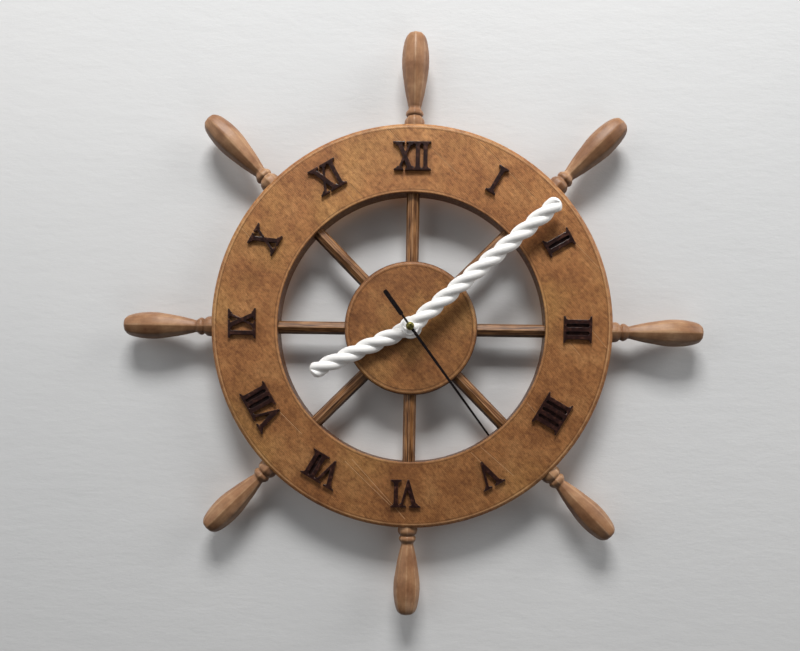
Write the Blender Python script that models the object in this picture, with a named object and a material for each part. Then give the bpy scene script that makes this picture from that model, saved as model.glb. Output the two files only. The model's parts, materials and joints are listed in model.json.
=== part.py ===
# Ship wheel wall clock: a printed wheel with eight spokes and handles, raised Roman numerals,
# rope-shaped hands and a 56 mm quartz movement behind the hub.
# Metres, +Z up. The origin is on the clock's axis, on the movement's back, which lies on the wall.
# The front looks along -Y, and every angle runs clockwise from twelve, as the front shows it.

import math

import bmesh
import bpy
from mathutils import Matrix
from mathutils.geometry import delaunay_2d_cdt

for item in list(bpy.data.objects):
    bpy.data.objects.remove(item, do_unlink=True)

# Fits
fit_gap = 0.0003
seat_gap = 0.0002
cut_overrun = 0.002
merge_distance = 0.000001

# Wheel
wheel_tip_diameter = 0.400
rim_outer_diameter = 0.2752
rim_width = 0.046
wheel_thickness = 0.016
rim_front_bevel = 0.0031
rim_inner_bevel = 0.0010
rim_back_bevel = 0.0008
rim_sides = 96
hub_diameter = 0.091
hub_front_bevel = 0.0022
hub_back_bevel = 0.0008
hub_plate_thickness = 0.004
hub_sides = 64
pocket_clearance = 0.0015
pocket_corner_radius = 0.008

# Spokes and handles
arm_count = 8
arm_names = ("12", "1_30", "3", "4_30", "6", "7_30", "9", "10_30")
arm_sides = 8
spoke_diameter = 0.009
spoke_hub_socket_depth = 0.004
spoke_rim_socket_depth = 0.006
grip_diameter = 0.0191
collar_inset = 0.003
tenon_diameter = 0.008
tenon_length = 0.014
handle_profile_shares = [
    (0.0, 0.73), (0.028, 0.728), (0.054, 0.697), (0.0705, 0.66), (0.0865, 0.60),
    (0.101, 0.565), (0.109, 0.60), (0.119, 0.628), (0.136, 0.633), (0.151, 0.61),
    (0.167, 0.57), (0.183, 0.52), (0.201, 0.46), (0.213, 0.475), (0.231, 0.515),
    (0.279, 0.587), (0.327, 0.664), (0.391, 0.75), (0.455, 0.82), (0.519, 0.89),
    (0.583, 0.955), (0.647, 0.995), (0.6955, 1.0), (0.7596, 0.985), (0.8157, 0.946),
    (0.872, 0.882), (0.920, 0.804), (0.952, 0.717), (0.974, 0.61), (0.990, 0.44),
]

# Numerals
numeral_inset = 0.0232
numeral_height = 0.019
numeral_relief = 0.0022
stem_width = 0.0028
thick_stroke = 0.0031
thin_stroke = 0.0018
serif_overhang = 0.0024
serif_thickness = 0.0009
serif_bracket = 0.0027
stem_pitch = 0.0052
v_spread = 0.0047
x_spread = 0.0041
v_to_stem = 0.0084
x_to_stem = 0.0087
v_foot_width = 0.0012

# Sideways and upward from its even place, how far each numeral is glued, from I to XII
numeral_shifts = [
    (-0.0008, 0.0006), (-0.0002, 0.0015), (-0.0013, 0.0006), (-0.0015, 0.0007),
    (-0.0026, 0.0004), (-0.0023, 0.0012), (-0.0019, 0.0017), (-0.0022, 0.0021),
    (-0.0011, 0.0009), (-0.0010, 0.0010), (-0.0002, 0.0014), (-0.0003, 0.0006),
]

# Hands
minute_hand_length = 0.1292
hour_hand_length = 0.0748
rope_diameter = 0.0116
strand_diameter = 0.0055
rope_pitch = 0.0407
rope_thickness = 0.0055
rope_tip_length = 0.0045
rope_tail = 0.004
strand_count = 3
points_per_strand = 5
rings_per_pitch = 15
tip_ring_shares = (0.35, 0.65, 0.87)
hour_boss_diameter = 0.015
hour_boss_thickness = 0.0035
minute_boss_diameter = 0.0118
minute_boss_thickness = 0.0036
nut_seat_diameter = 0.0062
second_hand_length = 0.0895
second_tail_length = 0.029
needle_root_width = 0.0020
needle_tip_width = 0.0013
tail_neck_width = 0.0014
tail_neck_length = 0.009
tail_bar_width = 0.0030
needle_thickness = 0.0005
needle_disc_diameter = 0.0046
cap_diameter = 0.0054
cap_height = 0.0014
minute_hand_angle = math.radians(49.1)
hour_hand_angle = math.radians(245.3)
second_hand_angle = math.radians(143.2)

# Movement case
movement_width = 0.056
movement_depth = 0.016
case_wall = 0.0012
case_corner_radius = 0.004
battery_diameter = 0.014
battery_length = 0.050
battery_button_diameter = 0.005
battery_button_length = 0.001
bay_wall = 0.001
bay_side_clearance = 0.0005
contact_thickness = 0.0004
contact_height = 0.0065
spring_length = 0.0010
spring_diameter = 0.0060
pivot_depth = 0.0006
knob_diameter = 0.0064
knob_thickness = 0.0019
knob_recess_depth = 0.0026
knob_flute_count = 18
knob_flute_depth = 0.00025
recess_clearance = 0.0004

# Shafts and what holds the movement to the hub
bush_diameter = 0.008
bush_bore_diameter = 0.0056
hour_pipe_diameter = 0.005
hour_bore_diameter = 0.0036
minute_pipe_diameter = 0.003
minute_bore_diameter = 0.0016
arbor_diameter = 0.001
motion_arbor_diameter = 0.0016
hanger_thickness = 0.0008
hanger_ring_diameter = 0.015
hanger_width = 0.012
hanger_reach = 0.044
hanger_hole_diameter = 0.007
hanger_hole_height = 0.038
hanger_wall_space = 0.0012
rubber_washer_diameter = 0.014
rubber_washer_thickness = 0.0008
brass_washer_diameter = 0.013
brass_washer_thickness = 0.0004
hex_nut_width = 0.011
hex_nut_thickness = 0.0020
hand_nut_diameter = 0.0055
hand_nut_thickness = 0.0010

# Gear train: teeth, and the distance from each arbor to the next
layer_step = 0.0019
gear_thickness = 0.001
rotor_pinion_teeth = 8
intermediate_wheel_teeth = 40
intermediate_pinion_teeth = 8
second_wheel_teeth = 48
second_pinion_teeth = 8
third_wheel_teeth = 60
third_pinion_teeth = 8
centre_wheel_teeth = 64
cannon_pinion_teeth = 12
motion_wheel_teeth = 36
motion_pinion_teeth = 12
hour_wheel_teeth = 48
rotor_distance = 0.00672
intermediate_distance = 0.0070
third_distance = 0.01054
motion_distance = 0.01152
tooth_addendum_share = 0.75
tooth_dedendum_share = 1.05
tooth_root_half_share = 0.22
tooth_tip_half_share = 0.09
magnet_diameter = 0.006
magnet_clearance = 0.0004
magnet_length = 0.0012

# Coil, stator and circuit board
stator_thickness = 0.0008
stator_leg_width = 0.0024
stator_width = 0.0174
stator_left_inset = 0.0018
stator_drop = 0.0042
stator_pad_height = 0.0085
coil_diameter = 0.0076
coil_height = 0.0215
plate_coil_clearance = 0.0005
board_thickness = 0.001
board_width = 0.0165
board_height = 0.014
board_corner_inset = 0.0023

# How finely round pieces are divided
arbor_sides = 12
tube_sides = 20
battery_sides = 24
boss_sides = 32
corner_steps = 5
dome_steps = 5

# Depths worked out from the back of the movement to the front of the cap
hanger_back_y = -(movement_depth + seat_gap)
rubber_washer_back_y = hanger_back_y - hanger_thickness - seat_gap
pocket_floor_y = rubber_washer_back_y - rubber_washer_thickness - seat_gap
wheel_front_y = pocket_floor_y - hub_plate_thickness
wheel_back_y = wheel_front_y + wheel_thickness
arm_axis_y = wheel_front_y + wheel_thickness / 2
brass_washer_back_y = wheel_front_y - seat_gap
hex_nut_back_y = brass_washer_back_y - brass_washer_thickness - seat_gap
bush_front_y = hex_nut_back_y - hex_nut_thickness
hour_hand_back_y = bush_front_y - fit_gap
minute_hand_back_y = hour_hand_back_y - rope_thickness - fit_gap
hand_nut_back_y = minute_hand_back_y - rope_thickness - seat_gap
needle_back_y = hand_nut_back_y - hand_nut_thickness - fit_gap
needle_front_y = needle_back_y - needle_thickness
case_front_inner_y = -(movement_depth - case_wall)
case_back_inner_y = -case_wall

# Radii worked out from the diameters
rim_radius = rim_outer_diameter / 2
opening_radius = rim_radius - rim_width
numeral_circle_radius = rim_radius - numeral_inset
hub_radius = hub_diameter / 2
spoke_radius = spoke_diameter / 2
tenon_radius = tenon_diameter / 2
grip_radius = grip_diameter / 2
arbor_radius = arbor_diameter / 2
arbor_hole_radius = arbor_radius + fit_gap
motion_arbor_radius = motion_arbor_diameter / 2
motion_hole_radius = motion_arbor_radius + fit_gap
half_case = movement_width / 2
half_chamber = half_case - case_wall

# Where the arbors stand, each meshing with its neighbour
clock_centre = (0.0, 0.0)
intermediate_angle = math.radians(270.0)
rotor_angle = math.radians(315.0)
third_angle = math.radians(15.0)
motion_angle = math.radians(90.0)


def away(start, distance, angle):
    """The place at a distance from start, at a clockwise angle."""
    return (start[0] + distance * math.sin(angle), start[1] + distance * math.cos(angle))


intermediate_centre = away(clock_centre, intermediate_distance, intermediate_angle)
rotor_centre = away(intermediate_centre, rotor_distance, rotor_angle)
third_centre = away(clock_centre, third_distance, third_angle)
motion_centre = away(clock_centre, motion_distance, motion_angle)


def layer_y(number):
    """The middle of a gear layer, counted from the movement's back."""
    return case_back_inner_y - case_wall - number * layer_step


def surface(name, colour, roughness, metallic):
    """A plain material of one colour."""
    made = bpy.data.materials.new(name)
    made.use_nodes = True
    shader = made.node_tree.nodes["Principled BSDF"]
    shader.inputs["Base Color"].default_value = (*colour, 1.0)
    shader.inputs["Roughness"].default_value = roughness
    shader.inputs["Metallic"].default_value = metallic
    made.diffuse_color = (*colour, 1.0)
    return made


wheel_stain = surface("wheel_stain", (0.30, 0.16, 0.07), 0.55, 0.0)
spoke_stain = surface("spoke_stain", (0.17, 0.08, 0.035), 0.5, 0.0)
handle_stain = surface("handle_stain", (0.33, 0.18, 0.10), 0.5, 0.0)
numeral_brown = surface("numeral_brown", (0.025, 0.014, 0.012), 0.35, 0.0)
hand_white = surface("hand_white", (0.82, 0.82, 0.80), 0.4, 0.0)
needle_black = surface("needle_black", (0.01, 0.01, 0.01), 0.35, 0.0)
cap_brass = surface("cap_brass", (0.30, 0.28, 0.10), 0.35, 0.9)
brass = surface("brass", (0.72, 0.53, 0.22), 0.3, 1.0)
steel = surface("steel", (0.55, 0.55, 0.55), 0.35, 1.0)
case_black = surface("case_black", (0.015, 0.015, 0.016), 0.5, 0.0)
gear_nylon = surface("gear_nylon", (0.80, 0.80, 0.76), 0.45, 0.0)
copper = surface("copper", (0.70, 0.32, 0.16), 0.35, 1.0)
board_green = surface("board_green", (0.03, 0.16, 0.06), 0.5, 0.0)
rubber_black = surface("rubber_black", (0.02, 0.02, 0.02), 0.8, 0.0)
battery_wrap = surface("battery_wrap", (0.35, 0.36, 0.38), 0.35, 0.5)

round_edge_angle = math.radians(30.0)


def placed(name, mesh, look, angle=0.0, place=(0.0, 0.0, 0.0)):
    """An object for a mesh, turned about the clock's axis direction."""
    piece = bpy.data.objects.new(name, mesh)
    piece.location = place
    piece.rotation_euler = (0.0, angle, 0.0)
    bpy.context.scene.collection.objects.link(piece)
    if look is not None and not mesh.materials:
        mesh.materials.append(look)
    return piece


def finished_mesh(name, form):
    """A closed mesh from a bmesh, its faces looking out and round parts smooth."""
    bmesh.ops.recalc_face_normals(form, faces=form.faces)
    mesh = bpy.data.meshes.new(name)
    form.to_mesh(mesh)
    form.free()
    mesh.shade_smooth()
    mesh.set_sharp_from_angle(angle=round_edge_angle)
    return mesh


def boolean(piece, tools, operation):
    """Joins tools to a piece or cuts them out of it, and removes them."""
    for tool in tools:
        step = piece.modifiers.new(tool.name, "BOOLEAN")
        step.operation = operation
        step.object = tool
    bpy.context.view_layer.update()
    graph = bpy.context.evaluated_depsgraph_get()
    look = piece.data.materials[0] if piece.data.materials else None
    mesh = bpy.data.meshes.new_from_object(piece.evaluated_get(graph))
    piece.modifiers.clear()
    piece.data = mesh
    mesh.materials.clear()
    if look is not None:
        mesh.materials.append(look)
    mesh.shade_smooth()
    mesh.set_sharp_from_angle(angle=round_edge_angle)
    for tool in tools:
        bpy.data.objects.remove(tool, do_unlink=True)
    return piece


def joined(piece, *tools):
    return boolean(piece, tools, "UNION")


def cut(piece, *tools):
    return boolean(piece, tools, "DIFFERENCE")


def circle(radius, sides, centre=(0.0, 0.0), start=0.0):
    """Points of a polygon in the plane of the face."""
    return [away(centre, radius, start + 2 * math.pi * k / sides) for k in range(sides)]


def rectangle(low_x, high_x, low_z, high_z, low_radius=0.0, high_radius=0.0):
    """A rectangle whose lower and upper corners may be rounded."""
    corners = (
        (high_x, high_z, high_radius, 0), (high_x, low_z, low_radius, 1),
        (low_x, low_z, low_radius, 2), (low_x, high_z, high_radius, 3),
    )
    points = []
    for x, z, radius, quarter in corners:
        inward_x = 1 if quarter > 1 else -1
        inward_z = 1 if quarter in (1, 2) else -1
        centre = (x + inward_x * radius, z + inward_z * radius)
        steps = corner_steps if radius else 0
        for step in range(steps + 1):
            turn = step / steps if steps else 0
            points.append(away(centre, radius, (quarter + turn) * math.pi / 2))
    return points


def runs_anticlockwise(ring):
    """Whether an outline's points run anticlockwise, as the triangulation needs them."""
    doubled = 0.0
    for (x, z), (next_x, next_z) in zip(ring, ring[1:] + ring[:1]):
        doubled += x * next_z - next_x * z
    return doubled > 0


def slab_mesh(name, outlines, holes, back_y, front_y):
    """A flat plate: the union of its outlines without its holes, between two depths."""
    points = []
    rings = []
    for ring in list(outlines) + list(holes):
        numbers = [len(points) + k for k in range(len(ring))]
        rings.append(numbers if runs_anticlockwise(ring) else numbers[::-1])
        points.extend(ring)
    flat = delaunay_2d_cdt(points, [], rings, 1, merge_distance)
    places, triangles, sources = flat[0], flat[2], flat[5]
    kept = []
    for triangle, source in zip(triangles, sources):
        in_outline = any(number < len(outlines) for number in source)
        in_hole = any(number >= len(outlines) for number in source)
        if in_outline and not in_hole:
            kept.append(triangle)
    used = sorted({corner for triangle in kept for corner in triangle})
    form = bmesh.new()
    back = {k: form.verts.new((places[k].x, back_y, places[k].y)) for k in used}
    front = {k: form.verts.new((places[k].x, front_y, places[k].y)) for k in used}
    sides = {(t[k], t[(k + 1) % 3]) for t in kept for k in range(3)}
    for triangle in kept:
        form.faces.new([front[k] for k in triangle])
        form.faces.new([back[k] for k in reversed(triangle)])
    for start, end in sorted(sides):
        if (end, start) not in sides:
            form.faces.new((front[start], back[start], back[end], front[end]))
    return finished_mesh(name, form)


def slab(name, outlines, back_y, front_y, look, holes=()):
    return placed(name, slab_mesh(name, outlines, holes, back_y, front_y), look)


def turned_mesh(name, profile, sides, hollow, start=0.0):
    """A turned shape about Y, from (radius, y) points; a hollow one is a closed ring."""
    form = bmesh.new()
    rings = []
    for radius, y in profile:
        if radius == 0:
            rings.append([form.verts.new((0.0, y, 0.0))])
        else:
            rings.append([form.verts.new((x, y, z)) for x, z in circle(radius, sides, start=start)])
    pairs = list(zip(rings, rings[1:]))
    if hollow:
        pairs.append((rings[-1], rings[0]))
    for lower, upper in pairs:
        for k in range(sides):
            after = (k + 1) % sides
            corners = []
            for ring, number in ((lower, k), (lower, after), (upper, after), (upper, k)):
                corner = ring[number % len(ring)]
                if corner not in corners:
                    corners.append(corner)
            form.faces.new(corners)
    return finished_mesh(name, form)


def turned(name, profile, sides, look, centre=(0.0, 0.0), hollow=False, start=0.0):
    mesh = turned_mesh(name, profile, sides, hollow, start)
    return placed(name, mesh, look, place=(centre[0], 0.0, centre[1]))


def rod(name, radius, back_y, front_y, look, centre=(0.0, 0.0), sides=arbor_sides):
    profile = [(0.0, back_y), (radius, back_y), (radius, front_y), (0.0, front_y)]
    return turned(name, profile, sides, look, centre)


def tube(name, radius, bore, back_y, front_y, look, sides=tube_sides, centre=(0.0, 0.0)):
    profile = [(radius, back_y), (radius, front_y), (bore, front_y), (bore, back_y)]
    return turned(name, profile, sides, look, centre, hollow=True)


def arm_mesh(name, profile, sides):
    """A turned shape whose axis points to twelve, with one edge facing the front."""
    mesh = turned_mesh(name, profile, sides, hollow=False)
    mesh.transform(Matrix.Rotation(math.pi / 2, 4, "X"))
    mesh.transform(Matrix.Translation((0.0, arm_axis_y, 0.0)))
    return mesh


def arm_angles():
    return [2 * math.pi * k / arm_count for k in range(arm_count)]


# Rim: a flat ring with a rounded outer edge, and a socket for each spoke and each handle
def handle_profile():
    """Radius and height of the handle's outside, from its collar to its tip."""
    length = wheel_tip_diameter / 2 - rim_radius
    collar_radius = handle_profile_shares[0][1] * grip_radius
    profile = [(collar_radius, rim_radius - collar_inset)]
    for height_share, radius_share in handle_profile_shares[1:]:
        profile.append((radius_share * grip_radius, rim_radius + height_share * length))
    return profile


def corner_radius(flat_radius):
    """The corner radius of an eight-sided socket that leaves the gap on its flats."""
    return flat_radius + fit_gap / math.cos(math.pi / arm_sides)


def arm_cutter(name, radius, low, high, angle):
    profile = [(0.0, low), (radius, low), (radius, high), (0.0, high)]
    return placed(name, arm_mesh(name, profile, arm_sides), None, angle)


def make_rim():
    quarter = rim_front_bevel * math.sin(math.pi / 4)
    profile = [
        (opening_radius, wheel_back_y - rim_back_bevel),
        (opening_radius + rim_back_bevel, wheel_back_y),
        (rim_radius - rim_back_bevel, wheel_back_y),
        (rim_radius, wheel_back_y - rim_back_bevel),
        (rim_radius, wheel_front_y + rim_front_bevel),
        (rim_radius - rim_front_bevel + quarter, wheel_front_y + rim_front_bevel - quarter),
        (rim_radius - rim_front_bevel, wheel_front_y),
        (opening_radius + rim_inner_bevel, wheel_front_y),
        (opening_radius, wheel_front_y + rim_inner_bevel),
    ]
    rim = turned("rim", profile, rim_sides, wheel_stain, hollow=True, start=math.pi / rim_sides)
    collar_radius = handle_profile()[0][0]
    cutters = []
    for angle in arm_angles():
        cutters.append(arm_cutter(
            "spoke_socket", corner_radius(spoke_radius),
            opening_radius - cut_overrun, opening_radius + spoke_rim_socket_depth + fit_gap, angle))
        cutters.append(arm_cutter(
            "collar_seat", corner_radius(collar_radius),
            rim_radius - collar_inset - fit_gap, rim_radius + cut_overrun, angle))
        cutters.append(arm_cutter(
            "tenon_socket", corner_radius(tenon_radius),
            rim_radius - tenon_length - fit_gap, rim_radius - collar_inset, angle))
    return cut(rim, *cutters)


# Hub: a round plate with a square pocket for the movement and a socket for each spoke
def make_hub():
    quarter = hub_front_bevel * math.sin(math.pi / 4)
    profile = [
        (0.0, wheel_back_y),
        (hub_radius - hub_back_bevel, wheel_back_y),
        (hub_radius, wheel_back_y - hub_back_bevel),
        (hub_radius, wheel_front_y + hub_front_bevel),
        (hub_radius - hub_front_bevel + quarter, wheel_front_y + hub_front_bevel - quarter),
        (hub_radius - hub_front_bevel, wheel_front_y),
        (0.0, wheel_front_y),
    ]
    hub = turned("hub", profile, hub_sides, wheel_stain, start=math.pi / hub_sides)
    half_pocket = half_case + pocket_clearance
    outline = rectangle(
        -half_pocket, half_pocket, -half_pocket, half_pocket, pocket_corner_radius, pocket_corner_radius)
    pocket = slab("pocket", [outline], wheel_back_y + cut_overrun, pocket_floor_y, None)
    bore = rod(
        "bush_hole", bush_diameter / 2 + fit_gap, wheel_back_y, wheel_front_y - cut_overrun,
        None, sides=tube_sides)
    cutters = [pocket, bore]
    for angle in arm_angles():
        cutters.append(arm_cutter(
            "spoke_socket", corner_radius(spoke_radius),
            hub_radius - spoke_hub_socket_depth - fit_gap, hub_radius + cut_overrun, angle))
    return cut(hub, *cutters)


# Spokes and handles: eight-sided, an edge to the front, each in its sockets
def make_spokes():
    low = hub_radius - spoke_hub_socket_depth
    high = opening_radius + spoke_rim_socket_depth
    profile = [(0.0, low), (spoke_radius, low), (spoke_radius, high), (0.0, high)]
    mesh = arm_mesh("spoke", profile, arm_sides)
    for name, angle in zip(arm_names, arm_angles()):
        placed("spoke_" + name, mesh, spoke_stain, angle)


def make_handles():
    foot = rim_radius - tenon_length
    seat = rim_radius - collar_inset
    tip = wheel_tip_diameter / 2
    profile = [(0.0, foot), (tenon_radius, foot), (tenon_radius, seat)]
    profile += handle_profile()
    profile.append((0.0, tip))
    mesh = arm_mesh("handle", profile, arm_sides)
    for name, angle in zip(arm_names, arm_angles()):
        placed("handle_" + name, mesh, handle_stain, angle)


# Numerals: strokes and bracketed serifs, joined to one raised plate for each hour
def stroke(low_x, high_x, width):
    """A stroke from the foot to the top of a numeral."""
    half = width / 2
    top = numeral_height / 2
    return [(low_x - half, -top), (low_x + half, -top), (high_x + half, top), (high_x - half, top)]


def serif(x, width, upward):
    """A serif at the top or foot of a stroke, with its bracket."""
    edge = upward * numeral_height / 2
    thin = edge - upward * serif_thickness
    bracket = edge - upward * serif_bracket
    half = width / 2
    reach = half + serif_overhang
    return [
        (x - reach, edge), (x - reach, thin), (x - half, bracket),
        (x + half, bracket), (x + reach, thin), (x + reach, edge),
    ]


def letter_i(x):
    return [stroke(x, x, stem_width), serif(x, stem_width, 1), serif(x, stem_width, -1)]


def letter_v(x):
    """A thick and a thin stroke that run together to one narrow foot."""
    top = numeral_height / 2
    foot = v_foot_width / 2
    joined_width = thick_stroke + thin_stroke
    fork = (joined_width - v_foot_width) / (2 * v_spread + joined_width / 2 - v_foot_width)
    fork_x = x + foot - thin_stroke + fork * (v_spread + thin_stroke / 2 - foot)
    fork_z = top * (2 * fork - 1)
    thick = [
        (x - foot, -top), (x + foot, -top), (fork_x, fork_z),
        (x - v_spread + thick_stroke / 2, top), (x - v_spread - thick_stroke / 2, top),
    ]
    thin = [
        (x - foot, -top), (x + foot, -top), (x + v_spread + thin_stroke / 2, top),
        (x + v_spread - thin_stroke / 2, top), (fork_x, fork_z),
    ]
    return [thick, thin, serif(x - v_spread, thick_stroke, 1), serif(x + v_spread, thin_stroke, 1)]


def letter_x(x):
    return [
        stroke(x + x_spread, x - x_spread, thick_stroke),
        stroke(x - x_spread, x + x_spread, thin_stroke),
        serif(x - x_spread, thick_stroke, 1),
        serif(x + x_spread, thin_stroke, 1),
        serif(x - x_spread, thin_stroke, -1),
        serif(x + x_spread, thick_stroke, -1),
    ]


def numeral_outlines(letters):
    """The strokes of a numeral, spaced letter by letter and centred."""
    spreads = {"I": stem_width / 2, "V": v_spread, "X": x_spread}
    steps = {"II": stem_pitch, "VI": v_to_stem, "IV": v_to_stem, "XI": x_to_stem, "IX": x_to_stem}
    makers = {"I": letter_i, "V": letter_v, "X": letter_x}
    places = [0.0]
    for before, after in zip(letters, letters[1:]):
        places.append(places[-1] + steps[before + after])
    middle = (places[0] - spreads[letters[0]] + places[-1] + spreads[letters[-1]]) / 2
    outlines = []
    for letter, place in zip(letters, places):
        outlines += makers[letter](place - middle)
    return outlines


def make_numerals():
    numerals = ("I", "II", "III", "IIII", "V", "VI", "VII", "VIII", "IX", "X", "XI", "XII")
    for number, letters in enumerate(numerals, start=1):
        angle = 2 * math.pi * number / len(numerals)
        name = f"numeral_{number}"
        back = wheel_front_y - seat_gap
        mesh = slab_mesh(name, numeral_outlines(letters), (), back, back - numeral_relief)
        x, z = away(clock_centre, numeral_circle_radius, angle)
        shift_x, shift_z = numeral_shifts[number - 1]
        placed(name, mesh, numeral_brown, angle, (x + shift_x, 0.0, z + shift_z))


# Hands: three twisted strands, flat at the back, on a round boss
def rope_mesh(name, length, back_y):
    """A three-strand rope from below the pivot to a rounded tip at twelve."""
    rope_radius = rope_diameter / 2
    strand_radius = strand_diameter / 2
    strand_place = rope_radius - strand_radius
    section_points = strand_count * points_per_strand
    axis_y = back_y - rope_thickness + rope_radius
    lobe = 2 * math.pi / strand_count
    straight_end = length - rope_tip_length
    ring_count = math.ceil((straight_end + rope_tail) / rope_pitch * rings_per_pitch)
    stations = []
    for ring in range(ring_count + 1):
        stations.append((-rope_tail + (straight_end + rope_tail) * ring / ring_count, 1.0))
    for share in tip_ring_shares:
        stations.append((straight_end + share * rope_tip_length, math.sqrt(1 - share * share)))
    form = bmesh.new()
    rings = []
    for height, scale in stations:
        ring = []
        for point in range(section_points):
            turn = 2 * math.pi * point / section_points
            off_strand = (turn % lobe) - lobe / 2
            reach = strand_place * math.cos(off_strand)
            reach += math.sqrt(strand_radius ** 2 - (strand_place * math.sin(off_strand)) ** 2)
            direction = turn + 2 * math.pi * height / rope_pitch
            x = scale * reach * math.cos(direction)
            y = axis_y + scale * reach * math.sin(direction)
            ring.append(form.verts.new((x, y, height)))
        rings.append(ring)
    for lower, upper in zip(rings, rings[1:]):
        for k in range(section_points):
            after = (k + 1) % section_points
            form.faces.new((lower[k], lower[after], upper[after], upper[k]))
    form.faces.new(rings[0])
    form.faces.new(rings[-1])
    return finished_mesh(name, form)


def make_rope_hand(name, length, angle, back_y, boss_steps, bore_radius):
    """A rope on a boss of one or more steps, each a radius and a thickness."""
    hand = placed(name, rope_mesh(name, length, back_y), hand_white)
    behind_y = back_y + rope_diameter
    for radius, thickness in boss_steps:
        joined(hand, rod("boss", radius, behind_y, back_y - thickness, None, sides=boss_sides))
    reach = rope_diameter + cut_overrun
    behind = slab(
        "behind", [rectangle(-reach, reach, -reach, length + cut_overrun)],
        behind_y + cut_overrun, back_y, None)
    cut(hand, behind)
    bore = rod(
        "bore", bore_radius, back_y + cut_overrun, back_y - rope_thickness - cut_overrun,
        None, sides=tube_sides)
    cut(hand, bore)
    hand.rotation_euler = (0.0, angle, 0.0)
    return hand


def make_second_hand():
    half_root = needle_root_width / 2
    half_tip = needle_tip_width / 2
    needle = [
        (-half_root, 0.0), (-half_tip, second_hand_length),
        (half_tip, second_hand_length), (half_root, 0.0),
    ]
    neck = rectangle(-tail_neck_width / 2, tail_neck_width / 2, -tail_neck_length - tail_bar_width, 0.0)
    bar = rectangle(
        -tail_bar_width / 2, tail_bar_width / 2, -second_tail_length, -tail_neck_length,
        tail_bar_width / 3, tail_bar_width / 3)
    disc = circle(needle_disc_diameter / 2, tube_sides)
    stem_radius = arbor_hole_radius + needle_thickness
    hole = circle(stem_radius + fit_gap, arbor_sides)
    mesh = slab_mesh("second_hand", [needle, neck, bar, disc], [hole], needle_back_y, needle_front_y)
    placed("second_hand", mesh, needle_black, second_hand_angle)
    dome_back = needle_front_y - seat_gap
    cap_radius = cap_diameter / 2
    profile = [(0.0, needle_front_y), (arbor_hole_radius, needle_front_y)]
    profile += [(arbor_hole_radius, needle_back_y), (stem_radius, needle_back_y)]
    profile.append((stem_radius, dome_back))
    for step in range(dome_steps):
        turn = step / dome_steps * math.pi / 2
        profile.append((cap_radius * math.cos(turn), dome_back - cap_height * math.sin(turn)))
    profile.append((0.0, dome_back - cap_height))
    turned("second_hand_bush", profile, tube_sides, cap_brass)


# Gears: straight-sided teeth that clear their neighbours all the way round
def tooth_outline(teeth, pitch_radius, centre, start):
    """A gear's outline with a tooth at the start angle."""
    module = 2 * pitch_radius / teeth
    tip = pitch_radius + tooth_addendum_share * module
    root = pitch_radius - tooth_dedendum_share * module
    pitch = 2 * math.pi / teeth
    points = []
    for tooth in range(teeth):
        middle = start + tooth * pitch
        points.append(away(centre, root, middle - tooth_root_half_share * pitch))
        points.append(away(centre, tip, middle - tooth_tip_half_share * pitch))
        points.append(away(centre, tip, middle + tooth_tip_half_share * pitch))
        points.append(away(centre, root, middle + tooth_root_half_share * pitch))
    return points


def gear(name, teeth, mate_teeth, distance, centre, toward, drives, layer, look=None):
    """A gear in its layer. The driving one has a tooth toward its mate, the other a space."""
    pitch_radius = distance * teeth / (teeth + mate_teeth)
    start = toward if drives else toward + math.pi / teeth
    outline = tooth_outline(teeth, pitch_radius, centre, start)
    y = layer_y(layer)
    return slab(name, [outline], y + gear_thickness / 2, y - gear_thickness / 2, look)


def make_seconds_train():
    back_pivot_y = case_back_inner_y + pivot_depth - fit_gap
    front_pivot_y = case_front_inner_y - pivot_depth + fit_gap
    opposite = math.pi

    rotor = gear(
        "rotor", rotor_pinion_teeth, intermediate_wheel_teeth, rotor_distance,
        rotor_centre, rotor_angle + opposite, True, 1, gear_nylon)
    arbor = rod("arbor", arbor_radius, back_pivot_y, front_pivot_y, None, rotor_centre)
    magnet_back_y = plate_front_y() - fit_gap
    magnet = rod(
        "magnet", magnet_diameter / 2, magnet_back_y, magnet_back_y - magnet_length,
        None, rotor_centre, tube_sides)
    joined(rotor, arbor, magnet)

    wheel = gear(
        "intermediate_wheel", intermediate_wheel_teeth, rotor_pinion_teeth, rotor_distance,
        intermediate_centre, rotor_angle, False, 1, gear_nylon)
    pinion = gear(
        "pinion", intermediate_pinion_teeth, second_wheel_teeth, intermediate_distance,
        intermediate_centre, intermediate_angle + opposite, True, 0)
    stub_front_y = layer_y(2) - gear_thickness / 2 + fit_gap
    arbor = rod("arbor", arbor_radius, back_pivot_y, stub_front_y, None, intermediate_centre)
    joined(wheel, pinion, arbor)

    wheel = gear(
        "second_wheel", second_wheel_teeth, intermediate_pinion_teeth, intermediate_distance,
        clock_centre, intermediate_angle, False, 0, gear_nylon)
    pinion = gear(
        "pinion", second_pinion_teeth, third_wheel_teeth, third_distance,
        clock_centre, third_angle, True, 3)
    arbor = rod("arbor", arbor_radius, back_pivot_y, needle_front_y + fit_gap, None)
    joined(wheel, pinion, arbor)

    wheel = gear(
        "third_wheel", third_wheel_teeth, second_pinion_teeth, third_distance,
        third_centre, third_angle + opposite, False, 3, gear_nylon)
    pinion = gear(
        "pinion", third_pinion_teeth, centre_wheel_teeth, third_distance,
        third_centre, third_angle + opposite, True, 4)
    plate_back_y = layer_y(2) + gear_thickness / 2
    arbor = rod("arbor", arbor_radius, plate_back_y, front_pivot_y, None, third_centre)
    joined(wheel, pinion, arbor)

    wheel = gear(
        "centre_wheel", centre_wheel_teeth, third_pinion_teeth, third_distance,
        clock_centre, third_angle, False, 4, gear_nylon)
    bore = rod(
        "bore", minute_pipe_diameter / 2 + fit_gap, 0.0, -movement_depth, None, sides=tube_sides)
    cut(wheel, bore)


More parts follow.
